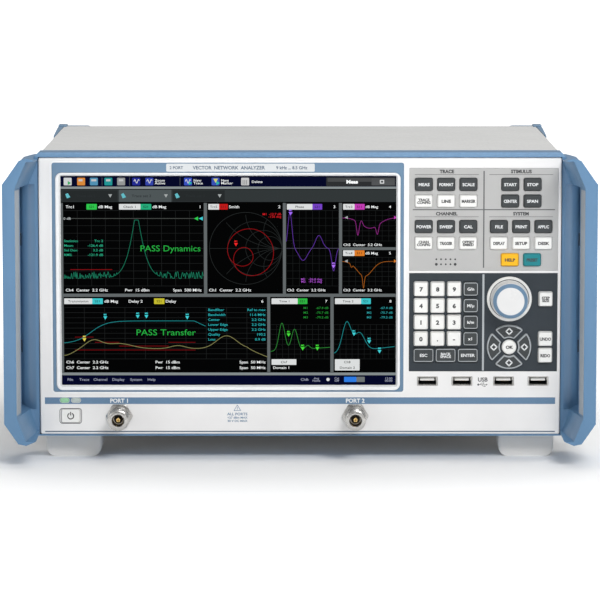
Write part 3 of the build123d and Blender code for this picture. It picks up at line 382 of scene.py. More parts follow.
def grown(edges, by, radius):
    """The outline of a rounded rectangle that stands by past the edges x0, x1, z0, z1, or inside them."""
    x0, x1, z0, z1 = edges
    return rounded(x0 - by, x1 + by, z0 - by, z1 + by, radius)


def around(x, z, half_width, half_height, radius, steps=6):
    """The outline of a rounded rectangle about a point, with its measures in mm."""
    return rounded(x - half_width * MM, x + half_width * MM, z - half_height * MM, z + half_height * MM,
                   radius * MM, steps)


def slab(bm, outline, front, back, index=0, hole=None):
    """Adds a flat piece between two depths, from an (x, z) outline. A hole has as many points as that."""
    near, far = ([bm.verts.new((x, depth, z)) for x, z in outline] for depth in (front, back))
    joined(bm, (near, far), index)
    if hole is None:
        bm.faces.new(near).material_index = index
        bm.faces.new(far[::-1]).material_index = index
        return
    near_hole, far_hole = ([bm.verts.new((x, depth, z)) for x, z in hole] for depth in (front, back))
    joined(bm, (far, far_hole, near_hole, near), index)


class Print:
    """Flat shapes gathered into one thin piece that lies on a surface facing the front."""

    STEP = 0.012 * MM  # each layer stands this much in front of the one below

    def __init__(self, surface, thick=0.03 * MM):
        self.bm = bmesh.new()
        self.surface = surface
        self.thick = thick
        self.inks = []

    def ink(self, material):
        if material not in self.inks:
            self.inks.append(material)
        return self.inks.index(material)

    def shape(self, outline, material, layer=0, hole=None):
        front = self.surface - self.thick - layer * self.STEP
        slab(self.bm, outline, front, self.surface, self.ink(material), hole)
        return self

    def rect(self, x0, x1, z0, z1, material, layer=0, radius=0.0):
        outline = rounded(x0, x1, z0, z1, radius) if radius else [(x1, z1), (x0, z1), (x0, z0), (x1, z0)]
        return self.shape(outline, material, layer)

    def stroke(self, points, width, material, layer=0):
        """A line of even width through (x, z) points."""
        for (xa, za), (xb, zb) in zip(points, points[1:]):
            along = Vector((xb - xa, zb - za))
            if along.length < 1e-7:
                continue
            side = Vector((-along.y, along.x)).normalized() * width / 2
            ahead = along.normalized() * width * 0.22
            start, end = Vector((xa, za)) - ahead, Vector((xb, zb)) + ahead
            corners = (start + side, start - side, end - side, end + side)
            self.shape([tuple(corner) for corner in corners], material, layer)
        return self

    def ring(self, x, z, outer, inner, material, layer=0, steps=48, start=0.0, sweep=1.0):
        """A ring, or part of one."""
        turns = [tau * (start + sweep * i / steps) for i in range(steps + 1)]
        points = [(x + (outer + inner) / 2 * cos(t), z + (outer + inner) / 2 * sin(t)) for t in turns]
        return self.stroke(points, outer - inner, material, layer)

    def disc(self, x, z, radius, material, layer=0, steps=32):
        turns = [tau * i / steps for i in range(steps)]
        return self.shape([(x + radius * cos(t), z + radius * sin(t)) for t in turns], material, layer)

    def text(self, words, x, z, height, material, layer=0, align="CENTER", squeeze=1.0, bold=0.035):
        """Lettering whose capitals are height tall, centred on z. bold is a share of the height."""
        curve = bpy.data.curves.new("lettering", "FONT")
        curve.body = words
        curve.size = height / 0.70
        curve.space_line = 0.82
        curve.align_x = align
        curve.extrude = self.thick / 2
        curve.offset = bold * height
        curve.resolution_u = 3
        holder = bpy.data.objects.new("lettering", curve)
        bpy.context.scene.collection.objects.link(holder)
        bpy.context.view_layer.update()
        mesh = bpy.data.meshes.new_from_object(holder.evaluated_get(bpy.context.evaluated_depsgraph_get()))
        lines = words.count("\n")
        drop = height / 2 - lines * curve.size * curve.space_line / 2
        for vert in mesh.vertices:
            flat = vert.co
            ahead = self.surface - self.thick / 2 - layer * self.STEP
            vert.co = (x + flat.x * squeeze, ahead - flat.z, z + flat.y - drop)
        count = len(self.bm.faces)
        self.bm.from_mesh(mesh)
        self.bm.faces.ensure_lookup_table()
        index = self.ink(material)
        for face in self.bm.faces[count:]:
            face.material_index = index
        bpy.data.objects.remove(holder)
        bpy.data.meshes.remove(mesh)
        bpy.data.curves.remove(curve)
        return self

    def done(self, name, body="housing", slot=None):
        bmesh.ops.remove_doubles(self.bm, verts=self.bm.verts, dist=1e-9)
        return finished(name, self.bm, self.inks, body)


# ---------------------------------------------------------------- casing
for name, width in (("front_frame", 0.7), ("left_handle", 1.6), ("right_handle", 1.6), ("handle_inlays", 0.3),
                    ("screen_bezel", 0.35), ("rear_bumpers", 0.9), ("feet", 0.8)):
    softened(name, width * MM)


def bezel_lip():
    """The raised white lip of the front panel round the blue bezel."""
    x0, x1, _, _, z0, z1 = BEZEL
    edges = x0, x1, z0, z1
    bm = bmesh.new()
    slab(bm, grown(edges, 1.5 * MM, 3.3 * MM), PANEL_FRONT - 0.45 * MM, PANEL_FRONT,
         hole=grown(edges, 0.05 * MM, 1.9 * MM))
    finished("bezel_lip", bm, [MATERIALS["surround_white"]])


def handle_slot_shade():
    """Painted shade: dark blocks in the two small slots in each handle, just clear of the slots' walls, stand
    for the shade in the slots.
    """
    reach = span("right_handle")[1]
    inner, outer, height = reach - 13.3 * MM, reach - 11.5 * MM, 9.6 * MM
    for side, node in ((-1, "left_handle"), (1, "right_handle")):
        tail = span(node)[3]
        bm = bmesh.new()
        for low in (80.2 * MM, 164.2 * MM):
            outline = [(side * inner, low), (side * outer, low), (side * outer, low + height),
                       (side * inner, low + height)]
            slab(bm, outline, tail - 13.8 * MM, tail - 4.2 * MM)
        finished(f"{node}_slots", bm, [MATERIALS["black_plastic"]])


def name_plate():
    """The pale plate on the bezel: the kind of instrument, between its ports and its range."""
    x0, x1, front, _, _, z1 = BEZEL
    middle = x0 + 0.536 * (x1 - x0)
    half_width, low, high = 57.3 * MM, z1 - 7.0 * MM, z1 - 0.7 * MM
    bm = bmesh.new()
    slab(bm, rounded(middle - half_width, middle + half_width, low, high, 1.0 * MM), front - 0.3 * MM, front)
    finished("name_plate", bm, [MATERIALS["name_plate_pale"]])
    sheet = Print(front - 0.3 * MM)
    for words, offset, height in (("2 PORT", -49.5, 2.2), ("VECTOR  NETWORK  ANALYZER", -9.0, 2.6),
                                  ("9 kHz ... 8.5 GHz", 39.5, 2.4)):
        sheet.text(words, middle + offset * MM, (low + high) / 2, height * MM, INK_SLATE)
    sheet.done("name_plate_lettering", slot="plate_grey")


def port_stripe():
    """The printed blue band over the ports, with the port names and the frames of the status lights, and a
    painted shadow line along the panel's groove.
    """
    x0, x1 = PANEL[0] + 3.5 * MM, PANEL[1] - 3.5 * MM
    lights = islands("status_lights")
    z0, z1 = lights[0][0].z - 1.1 * MM, lights[0][1].z + 0.5 * MM
    sheet = Print(PANEL_FRONT)
    edge, rim, hair = x0, 0.3 * MM, 0.01 * MM
    for low, high in lights:
        left, right = low.x - rim, high.x + rim
        sheet.rect(edge, left, z0, z1, INK_BLUE)
        window = rounded(left, right, low.z - rim, high.z + rim, (high.z - low.z) / 2 + rim - hair)
        sheet.shape(rounded(left - hair, right + hair, z0, z1, hair), INK_BLUE, hole=window)
        edge = right
    sheet.rect(edge, x1, z0, z1, INK_BLUE)
    for number, nut in enumerate(islands("port_nuts"), 1):
        sheet.text(f"PORT {number}", face_centre(nut)[0], (z0 + z1) / 2, 3.1 * MM, INK_WHITE, 1, bold=0.05)
    # Painted shade: a dark line along the groove near the foot of the panel stands for the groove's shadow.
    groove_shade = PANEL[4] + 2.2 * MM
    sheet.rect(x0, x1, groove_shade - 0.45 * MM, groove_shade + 0.45 * MM, INK_SLATE)
    sheet.done("port_stripe", slot="blue_plastic")


def port_label():
    """The warning printed between the ports: a triangle with a mark in it, and the limits in three lines."""
    centres = [face_centre(nut) for nut in islands("port_nuts")]
    x, z = sum(centre[0] for centre in centres) / len(centres), centres[0][1]
    sheet = Print(PANEL_FRONT)
    top, foot, half = z + 8.6 * MM, z + 4.2 * MM, 2.6 * MM
    sheet.stroke([(x, top), (x - half, foot), (x + half, foot), (x, top)], 0.4 * MM, INK_BLUE)
    sheet.rect(x - 0.2 * MM, x + 0.2 * MM, foot + 1.3 * MM, foot + 2.9 * MM, INK_BLUE)
    sheet.disc(x, foot + 0.75 * MM, 0.25 * MM, INK_BLUE, steps=12)
    for words, rise, height in (("ALL PORTS", 1.5, 2.0), ("+27 dBm MAX", -1.3, 1.6),
                                ("30 V DC MAX", -3.9, 1.6)):
        sheet.text(words, x, z + rise * MM, height * MM, INK_BLUE, squeeze=1.12)
    sheet.done("port_label", slot="panel_white")


def light_lenses():
    """The two status lights: one lit green, one off."""
    for name, (low, high), glow in zip(("run_light", "standby_light"), islands("status_lights"), (1, 0)):
        colour = (0.27, 0.56, 0.33) if glow else (0.44, 0.52, 0.50)
        surface = Surface(name, colour, 0.18, coat=0.5)
        surface.mottled(700.0, 0.08).grain(0.0004, 0.00001, 0.2)
        if glow:
            socket(surface.shader, "Emission Color", (0.10, 0.60, 0.20, 1.0))
            socket(surface.shader, "Emission Strength", 0.06)
        bm = bmesh.new()
        radius = (high.z - low.z) / 2 - 0.05 * MM
        slab(bm, rounded(low.x, high.x, low.z, high.z, radius, 8), low.y, high.y)
        rims = [e for e in bm.edges if all(abs(v.co.y - low.y) < 1e-7 for v in e.verts)]
        bmesh.ops.bevel(bm, geom=rims, offset=0.35 * MM, segments=3, profile=0.5, affect="EDGES")
        piece = finished(name, bm, [surface.material])
        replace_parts(piece, "status_lights")


def power_mark():
    """The standby sign on the power key, and a painted shadow round the key."""
    x0, x1, front, _, z0, z1 = span("power_key")
    x, z, radius = (x0 + x1) / 2, (z0 + z1) / 2, 2.3 * MM
    sheet = Print(front)
    sheet.ring(x, z, radius + 0.38 * MM, radius - 0.38 * MM, INK_DARK, start=0.33, sweep=0.84)
    sheet.rect(x - 0.38 * MM, x + 0.38 * MM, z + 0.5 * MM, z + 3.3 * MM, INK_DARK)
    sheet.done("power_mark", "power_key", "key_white")

    # Painted shadow: a grey outline on the panel round the power key stands for the shadow in the gap round
    # the key.
    border, width = 0.25 * MM, 0.55 * MM
    edges = x0, x1, z0, z1
    gap_shadow_line = Print(PANEL_FRONT)
    gap_shadow_line.shape(grown(edges, border + width, 2.2 * MM), INK_GREY, hole=grown(edges, border, 1.65 * MM))
    gap_shadow_line.done("power_key_gap_shadow", slot="panel_white")


# ---------------------------------------------------------------- key lettering
LEGENDS = {
    "menu_keys_row_1": ("MEAS", "FORMAT", "SCALE", "START", "STOP"),
    "menu_keys_row_2_light": ("TRACE\nCONFIG", "LINE", "MARKER"),
    "menu_keys_row_2_dark": ("CENTER", "SPAN"),
    "menu_keys_row_3": ("POWER", "SWEEP", "CAL", "FILE", "PRINT", "APPLIC"),
    "menu_keys_row_4": ("CHAN\nCONFIG", "TRIGGER", "OFFSET\nEMBED", "DISPLAY", "SETUP", "DESK"),
    "help_key": ("HELP",),
    "preset_key": ("PRESET",),
    "digit_keys_row_1": ("7", "8", "9"),
    "digit_keys_row_2": ("4", "5", "6"),
    "digit_keys_row_3": ("1", "2", "3"),
    "digit_keys_row_4": ("0", ".", "-"),
    "side_keys": ("STEP\nSIZE", "UNDO", "REDO"),
    "unit_keys": ("G/n", "M/µ", "k/m", "x1"),
    "edit_keys": ("ESC", "BACK\nSPACE", "ENTER"),
    "ok_key": ("OK",),
}
PALE_LETTERS = ("menu_keys_row_1", "menu_keys_row_2_dark", "menu_keys_row_3", "unit_keys", "edit_keys")


def key_lettering():
    """The words on the keys, one piece for each row, riding with it."""
    for node, words in LEGENDS.items():
        keys = islands(node)
        sheet = Print(keys[0][0].y)
        ink = INK_WHITE if node in PALE_LETTERS else INK_DARK
        for (low, high), word in zip(keys, words):
            if node.startswith("digit"):
                height = 3.1 * MM
            else:
                height = (1.85 if "\n" in word else 2.25) * MM
            longest = max(len(line) for line in word.split("\n"))
            room = (high.x - low.x) * 0.76
            squeeze = min(1.12, room / (longest * height * (1.2 if node == "side_keys" else 1.0)))
            sheet.text(word, *face_centre((low, high)), height, ink, squeeze=squeeze,
                       bold=0.04 if ink is INK_WHITE else 0.07)
        sheet.done(node + "_lettering", node, slot_of(node))


def rimmed(node):
    """A pale line along the edge of a dark rectangular key's face."""
    keys = islands(node)
    sheet = Print(keys[0][0].y)
    inset, width = 0.9 * MM, 0.5 * MM
    for low, high in keys:
        edges = low.x, high.x, low.z, high.z
        sheet.shape(grown(edges, -inset, 1.5 * MM), RIM_GREY, hole=grown(edges, -inset - width, 1.0 * MM))
    sheet.done(node + "_rim", node, slot_of(node))


def pale_sloped(node):
    """A cursor key whose slope and face border are pale: the CAD cap in two materials."""
    bm = welded(node)
    front = min(v.co.y for v in bm.verts)
    tops = [f for f in bm.faces if all(abs(v.co.y - front) < 2e-6 for v in f.verts)]
    for face in bm.faces:
        if face not in tops and face.calc_center_median().y < ENTRY[2]:
            face.material_index = 1
    for face in bmesh.ops.inset_region(bm, faces=tops, thickness=0.45 * MM, use_even_offset=True)["faces"]:
        face.material_index = 1
    slot_name = slot_of(node)
    piece = finished(node + "_cap", bm, [MATERIALS[slot_name], RIM_GREY], body_of(node))
    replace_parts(piece, node)


def cursor_marks():
    """A small diamond outline on each cursor key."""
    for side in ("up", "left", "down", "right"):
        node = f"cursor_{side}_key"
        x0, x1, front, _, z0, z1 = span(node)
        x, z = (x0 + x1) / 2, (z0 + z1) / 2
        if side in ("up", "down"):
            z += 0.4 * MM if side == "up" else -0.4 * MM
        reach = 2.4 * MM
        corners = [(x, z + reach), (x + reach, z), (x, z - reach), (x - reach, z), (x, z + reach)]
        sheet = Print(front)
        sheet.stroke(corners, 1.0 * MM, INK_WHITE)
        sheet.done(f"cursor_{side}_mark", node, "key_dark")


def plate_lines():
    """Titles and rules on the two key plates, and painted shade in the small holes of the menu plate."""
    x0, x1, front, _, z0, z1 = MENU
    middle = (x0 + x1) / 2
    rows = islands("menu_keys_row_1"), islands("menu_keys_row_3")
    split = islands("menu_keys_row_2_light")[0][0].z - 1.7 * MM
    sheet = Print(front)
    sheet.rect(middle - 0.5 * MM, middle + 0.5 * MM, z0 + 2.2 * MM, z1 - 2.2 * MM, INK_GREY)
    for low, high, words in ((x0 + 4 * MM, middle - 4 * MM, ("TRACE", "CHANNEL")),
                             (middle + 4 * MM, x1 - 4 * MM, ("STIMULUS", "SYSTEM"))):
        for row, word in zip(rows, words):
            title = row[0][1].z + 4.6 * MM
            sheet.text(word, (low + high) / 2, title + 0.4 * MM, 2.5 * MM, INK_DARK, bold=0.065)
            sheet.rect(low, high, title - 2.2 * MM, title - 1.85 * MM, INK_GREY)
    sheet.rect(x0 + 2.5 * MM, x1 - 2.5 * MM, split - 0.4 * MM, split + 0.4 * MM, INK_GREY, 1)
    # Painted shade: a patch of plate colour covers the small holes in the menu plate, and dark discs on it
    # stand for the shade in the holes.
    left, low, across, up = x0 + 20.9 * MM, z0 + 4.95 * MM, 3.65 * MM, 3.9 * MM
    margin, last = 1.9 * MM, 4
    sheet.rect(left - margin, left + last * across + margin, low - margin, low + up + margin,
               MATERIALS["plate_grey"])
    for row in range(2):
        for column in range(last + 1):
            radius = (1.1 if row == 0 and column in (0, last) else 0.72) * MM
            sheet.disc(left + column * across, low + row * up, radius, INK_DARK, 1, 16)
    sheet.done("menu_plate_lines", slot="plate_grey")

    x0, x1, front, _, z0, z1 = ENTRY
    bar = Print(front)
    bar.rect((x0 + x1) / 2 - 0.75 * MM, (x0 + x1) / 2 + 0.75 * MM, z0 + 0.6 * MM, z1 - 0.8 * MM, RIM_GREY)
    bar.done("entry_plate_line", slot="plate_dark")


# ---------------------------------------------------------------- knob, ports and sockets
def knob():
    """The knob in its three colours: a fluted grey skirt, a blue ring and a white cap."""
    x0, x1, front, back, z0, z1 = span("knob")
    x, z = (x0 + x1) / 2, (z0 + z1) / 2
    length, radius = (back - front) / MM, (x1 - x0) / 2 / MM
    top, flutes = radius - 4.15, 60

    def turned(*profile):
        bm = bmesh.new()
        lathe(bm, x, z, back, profile, 2 * flutes)
        return bm

    skirt = turned((4, 0), (radius - 0.4, 0), (radius, 0.4), (radius, 1.6), (radius - 0.5, 2.2),
                   (radius - 0.75, length - 3.2), (radius - 1.0, length - 2.7), (radius - 1.5, length - 2.5),
                   (4, length - 2.5))
    for vert in skirt.verts:
        across, up, ahead = vert.co.x - x, vert.co.z - z, (back - vert.co.y) / MM
        if 2.4 < ahead < length - 2.6 and sqrt(across**2 + up**2) / MM > radius - 1.2:
            pull = 1 - 0.012 * (1 + cos(flutes * atan2(up, across)))
            vert.co.x, vert.co.z = x + across * pull, z + up * pull
    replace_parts(finished("knob_skirt", skirt, [MATERIALS["knob_grey"]], "knob"), "knob")
    ring = turned((5, length - 2.7), (radius - 1.35, length - 2.7), (radius - 1.4, length - 2.2),
                  (radius - 3.6, length - 0.35), (radius - 4.1, length - 0.35), (5, length - 0.35))
    finished("knob_ring_blue", ring, [MATERIALS["blue_plastic"]], "knob")
    cap = turned((3, length - 0.6), (top, length - 0.6), (top, length - 0.25), (top - 0.3, length - 0.05),
                 (top - 0.8, length), (top * 0.6, length - 0.12), (top * 0.2, length - 0.2))
    finished("knob_cap", cap, [MATERIALS["knob_grey"]], "knob")


PORT_SIDES = 72


def port_thread(bm, x, z, tip, crest):
    """Rings of corners along a port's screw thread, which fades out at both ends."""
    pitch, depth, length, steps = 25.4 / 24 * MM, 0.62 * MM, 11.6 * MM, 8
    count = int(length / pitch * steps)
    rings = []
    for row in range(count + 1):
        along = 0.4 * MM + length * row / count
        fade = min(1.0, row / steps, (count - row) / steps)
        ring = []
        for i in range(PORT_SIDES):
            wave = abs(((along / pitch + i / PORT_SIDES) % 1.0) - 0.5) * 2
            radius = crest - depth * fade * min(1.0, max(0.0, 1.25 - 1.5 * wave))
            turn = tau * i / PORT_SIDES
            ring.append(bm.verts.new((x + radius * cos(turn), tip + along, z + radius * sin(turn))))
        rings.append(ring)
    return rings


def ports():
    """The coaxial ports' bodies with real threads, and painted shade: a dark wall in each bore stands for the
    shade deep in it.
    """
    crest = 7.94
    inside = ((7.3, 0.0), (5.0, 0.0), (4.45, 0.5), (4.25, 1.2), (4.25, 9.0), (3.5, 9.2), (3.5, 12.0),
              (5.5, 12.4))
    outside = ((7.0, 12.6), (7.0, 19.5), (crest, 20.2), (crest, 29.0), (10.4, 29.0), (10.4, 31.8),
               (6.0, 31.8), (6.0, 34.0), (5.5, 34.0))
    bore_shade_wall = ((4.23, 8.9), (4.23, 1.4), (4.05, 1.2), (4.05, 8.9))
    for number, box in enumerate(islands("port_connectors"), 1):
        (x, z), tip = face_centre(box), box[0].y

        def rings(bm, shape):
            return [circle(bm, x, tip + along * MM, z, radius * MM, PORT_SIDES) for radius, along in shape]

        bm = bmesh.new()
        thread, inner, outer = port_thread(bm, x, z, tip, crest * MM), rings(bm, inside), rings(bm, outside)
        joined(bm, inner[::-1] + thread + outer + inner[-1:])
        body = finished(f"port_{number}_body", bm, [MATERIALS["nickel"]], angle=40)
        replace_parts(body, "port_connectors")
        # Painted shade: this dark wall inside the bore stands for the shade deep in the port.
        bore = bmesh.new()
        walls = rings(bore, bore_shade_wall)
        joined(bore, walls + walls[:1])
        finished(f"port_{number}_lining", bore, [BORE_SHADE], angle=50)


def contact_fingers():
    """The slotted female contacts in the ports, each a tube of four fingers, with the bead behind, coloured
    dark as painted shade.
    """
    for number, box in enumerate(islands("port_connectors"), 1):
        (x, z), tip = face_centre(box), box[0].y
        bm = bmesh.new()
        outer, inner, front, back = 1.52, 0.85, tip + 3.8 * MM, tip + 9.0 * MM
        for finger in range(4):
            turns = [radians(finger * 90 + 7 + 76 * i / 8) for i in range(9)]
            rim = [(outer * MM, t) for t in turns] + [(inner * MM, t) for t in reversed(turns)]
            slab(bm, [(x + radius * cos(t), z + radius * sin(t)) for radius, t in rim], front, back)
        lathe(bm, x, z, back + 6 * MM, [(0.01, 0), (outer, 0), (outer, 6), (0.01, 6)], 32)
        piece = finished(f"port_{number}_contact", bm, [MATERIALS["brass"]], angle=40)
        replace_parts(piece, "port_inserts")
        # Painted shade: the bead deep in the port takes the dark shade colour.
        bead = bmesh.new()
        lathe(bead, x, z, tip + 13.0 * MM, [(1.6, 0), (3.45, 0), (3.45, 3.6), (1.6, 3.6)], 48)
        finished(f"port_{number}_bead", bead, [BORE_SHADE])


def socket_shells():
    """The boxes of the data sockets' metal shells."""
    return [box for box in islands("usb_sockets") if box[1].x - box[0].x > 13 * MM]


def data_sockets():
    """The four data sockets: folded metal shells with painted shade inside, and white tongues with gilt
    contacts.
    """
    for number, box in enumerate(socket_shells(), 1):
        (x, z), front, back = face_centre(box), box[0].y, box[1].y
        hole, flared = around(x, z, 6.3, 2.4, 0.3), around(x, z, 7.1, 3.1, 0.6)
        skin, brim = around(x, z, 7.3, 3.15, 0.5), around(x, z, 7.75, 3.45, 0.7)
        bm = bmesh.new()
        loops = [[bm.verts.new((px, depth, pz)) for px, pz in outline] for outline, depth in (
            (hole, back - 1.5 * MM), (hole, front + 1.2 * MM), (flared, front), (brim, front),
            (brim, front + 0.35 * MM), (skin, front + 0.5 * MM), (skin, back))]
        # Painted shade: the walls and back of each socket's hole get the near-black colour, standing for the
        # shade inside it.
        joined(bm, loops[:2], 1)
        joined(bm, loops[1:])
        bm.faces.new(loops[0]).material_index = 1
        bm.faces.new(loops[-1])
        inks = [MATERIALS["nickel"], SOCKET_SHADE]
        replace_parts(finished(f"data_socket_{number}_shell", bm, inks, angle=35), "usb_sockets")
        tongue = bmesh.new()
        slab(tongue, around(x, z + 1.05 * MM, 5.55, 0.9, 0.25, 3), front + 1.9 * MM, back - 1.6 * MM)
        for lane in (-3.5, -1.0, 1.0, 3.5):
            slab(tongue, around(x + lane * MM, z + 0.11 * MM, 0.5, 0.09, 0.05, 2), front + 2.3 * MM,
                 back - 3 * MM, 1)
        finished(f"data_socket_{number}_tongue", tongue, [SOCKET_WHITE, MATERIALS["brass"]])


def data_label():
    """The wording between the two pairs of data sockets, over a branched arrow."""
    shells = socket_shells()
    x, z = (shells[1][1].x + shells[2][0].x) / 2, face_centre(shells[1])[1]
    sheet = Print(PANEL_FRONT)
    sheet.text("USB", x, z + 1.2 * MM, 3.1 * MM, INK_GREY, bold=0.05)

    def placed(*points):
        return [(x + across * MM, z + (up - 2.8) * MM) for across, up in points]

    for line in (placed((-3.4, 0), (3.0, 0)), placed((-2.2, 0), (-1.0, 1.2), (0.6, 1.2)),
                 placed((-0.8, 0), (0.4, -1.2), (1.6, -1.2))):
        sheet.stroke(line, 0.35 * MM, INK_GREY)
    for outline in (placed((4.0, 0), (2.7, 0.7), (2.7, -0.7)),
                    placed((2.2, -0.8), (1.4, -0.8), (1.4, -1.6), (2.2, -1.6))):
        sheet.shape(outline, INK_GREY, 1)
    for (disc_x, disc_z), radius in zip(placed((-3.4, 0), (0.8, 1.2)), (0.8, 0.45)):
        sheet.disc(disc_x, disc_z, radius * MM, INK_GREY, 1, 20)
    sheet.done("data_socket_lettering", slot="panel_white")


# ---------------------------------------------------------------- the picture on the screen
class Picture(Print):
    """The screen's picture. Places are shares of its width (u) and of its height (v, from the bottom)."""

    def __init__(self):
        self.x0, self.x1 = BEZEL[0] + 6.6 * MM, BEZEL[1] - 5.8 * MM
        self.z0, self.z1 = BEZEL[4] + 5.1 * MM, BEZEL[5] - 10.4 * MM
        super().__init__(GLASS[2], 0.04 * MM)
        self.lamps = {}

    def at(self, u, v):
        return self.x0 + u * (self.x1 - self.x0), self.z0 + v * (self.z1 - self.z0)

    def lamp(self, colour, strength=1.0):
        key = (colour, strength)
        if key not in self.lamps:
            self.lamps[key] = light(f"picture_ink_{len(self.lamps)}", colour, strength)
        return self.lamps[key]

    def box(self, u0, u1, v0, v1, colour, layer, strength=1.0, radius=0.0):
        x0, z0 = self.at(u0, v0)
        x1, z1 = self.at(u1, v1)
        self.rect(x0, x1, z0, z1, self.lamp(colour, strength), layer, radius)

    def words(self, text, u, v, colour, height=1.75, align="LEFT", layer=4, strength=1.3, wide=1.2,
              bold=0.012):
        x, z = self.at(u, v)
        self.text(text, x, z, height * 1.2 * MM, self.lamp(colour, strength), layer, align, wide, bold)

    def trace(self, pane, curve, colour, samples=120, width=0.42, layer=4, strength=1.0):
        """A measured curve: curve(t) gives the height in the pane, 0 to 1, for t from 0 to 1."""
        u0, u1, v0, v1 = pane
        points = [self.at(u0 + (u1 - u0) * i / samples, v0 + (v1 - v0) * curve(i / samples))
                  for i in range(samples + 1)]
        self.stroke(points, width * MM, self.lamp(colour, strength), layer)

    def line(self, u0, v0, u1, v1, width, lamp, layer):
        self.stroke([self.at(u0, v0), self.at(u1, v1)], width * MM, lamp, layer)

    def grid(self, pane, columns, rows, colour=(0.017, 0.019, 0.019)):
        u0, u1, v0, v1 = pane
        for i in range(columns + 1):
            u = u0 + (u1 - u0) * i / columns
            self.line(u, v0, u, v1, 0.28, self.lamp(colour), 2)
        for i in range(rows + 1):
            v = v0 + (v1 - v0) * i / rows
            self.line(u0, v, u1, v, 0.28, self.lamp(colour), 2)

    def polygon(self, u, v, offsets, lamp, layer):
        """A filled shape whose corners lie (across, up) mm from a place."""
        x, z = self.at(u, v)
        self.shape([(x + across * MM, z + up * MM) for across, up in offsets], lamp, layer)

    def marker(self, u, v, colour, label):
        """A flag that stands on its tip, with its name over it."""
        self.polygon(u, v, ((0, 0), (1.5, 2.55), (-1.5, 2.55)), self.lamp(colour, 1.2), 5)
        x, z = self.at(u, v)
        self.text(label, x, z + 3.9 * MM, 1.3 * MM, self.lamp(colour, 1.2), 5)

    def badge(self, u, v, width, colour, text):
        """A filled tag with small dark text in it."""
        self.box(u, u + width, v - 0.0135, v + 0.0135, colour, 3, 1.0, 0.35 * MM)
        self.words(text, u + width / 2, v, (0.01, 0.01, 0.01), 1.45, "CENTER", 5)

    def heading(self, v, *items, height=1.75):
        """A row of white words, given as (u, words), and tags, given as (u, width, colour, words)."""
        for u, *tag, text in items:
            if tag:
                self.badge(u, v, *tag, text)
            else:
                self.words(text, u, v, WHITE_LIGHT, height)


WHITE_LIGHT = (0.78, 0.80, 0.80)
DIM_LIGHT = (0.42, 0.45, 0.45)
GREEN = (0.03, 0.62, 0.08)
SEA_GREEN = (0.02, 0.34, 0.19)
TEAL = (0.02, 0.36, 0.38)
CYAN = (0.05, 0.62, 0.66)
RED = (0.55, 0.01, 0.015)
PURPLE = (0.20, 0.06, 0.62)
MAGENTA = (0.60, 0.05, 0.50)
ORANGE = (0.80, 0.22, 0.02)
YELLOW = (0.62, 0.55, 0.03)
OLIVE = (0.26, 0.25, 0.09)
SLATE = (0.062, 0.075, 0.078)
DIVIDER = (0.17, 0.19, 0.195)
BLUE_GREY = (0.30, 0.32, 0.42)
NAVY = (0.001, 0.002, 0.022)
BLACK = (0.0004, 0.0005, 0.0006)

TOP_ROW = (0.438, 0.871)
LOW_ROW = (0.062, 0.423)


def bump_at(t, middle, width):
    """A bell curve."""
    return exp(-((t - middle) / width) ** 2)


def picture_bars(picture):
    """Tool bar, tab bar, dividers and status line."""
    picture.box(-0.004, 1.004, -0.004, 1.004, BLACK, 0)
    picture.box(0.0, 1.0, 0.949, 0.998, NAVY, 1)
    picture.box(0.0, 1.0, 0.938, 0.949, DIVIDER, 1, 1.6)
    picture.box(0.0, 1.0, 0.876, 0.934, SLATE, 1, 0.55)
    picture.box(0.006, 0.170, 0.878, 0.931, SLATE, 2, 0.34)
    picture.box(0.174, 0.330, 0.876, 0.934, SLATE, 2, 1.35)
    picture.box(0.334, 0.489, 0.878, 0.931, SLATE, 2, 0.34)
    for u, name in ((0.046, "Trace set 1"), (0.212, "Trace set 2"), (0.372, "Trace set 3")):
        picture.words(name, u, 0.905, (0.02, 0.024, 0.026), 1.6)
        picture.polygon(u - 0.026, 0.905, ((-1.5, 1.2), (0.4, 2.2), (2.4, -1.0), (-0.2, -2.0)),
                        picture.lamp((0.14, 0.55, 0.62)), 3)
        picture.polygon(u + 0.102, 0.905, ((-1.5, 1.2), (1.5, 1.2), (0, -1.4)), picture.lamp(DIM_LIGHT), 3)
    picture.box(0.0, 1.0, 0.0466, 0.0594, DIVIDER, 1, 1.5)
    picture.box(0.0, 1.0, 0.002, 0.0466, NAVY, 1)
    for word, u in (("File", 0.016), ("Trace", 0.052), ("Channel", 0.094), ("Display", 0.150),
                    ("System", 0.204), ("Help", 0.256), ("Ch8:", 0.715)):
        picture.words(word, u, 0.026, BLUE_GREY, 1.6)
    picture.words("Avg\nNone", 0.762, 0.026, BLUE_GREY, 1.3, "CENTER")
    picture.disc(*picture.at(0.797, 0.026), 1.3 * MM, picture.lamp(WHITE_LIGHT), 3)
    picture.words("Cal\nOff", 0.823, 0.026, BLUE_GREY, 1.3, "CENTER")
    picture.box(0.845, 0.882, 0.014, 0.039, (0.03, 0.22, 0.85), 3, 1.0, 0.5 * MM)
    picture.box(0.882, 0.907, 0.014, 0.039, DIVIDER, 3, 1.0, 0.5 * MM)
    picture.words("12:00\n00:00", 0.990, 0.026, BLUE_GREY, 1.3, "RIGHT")


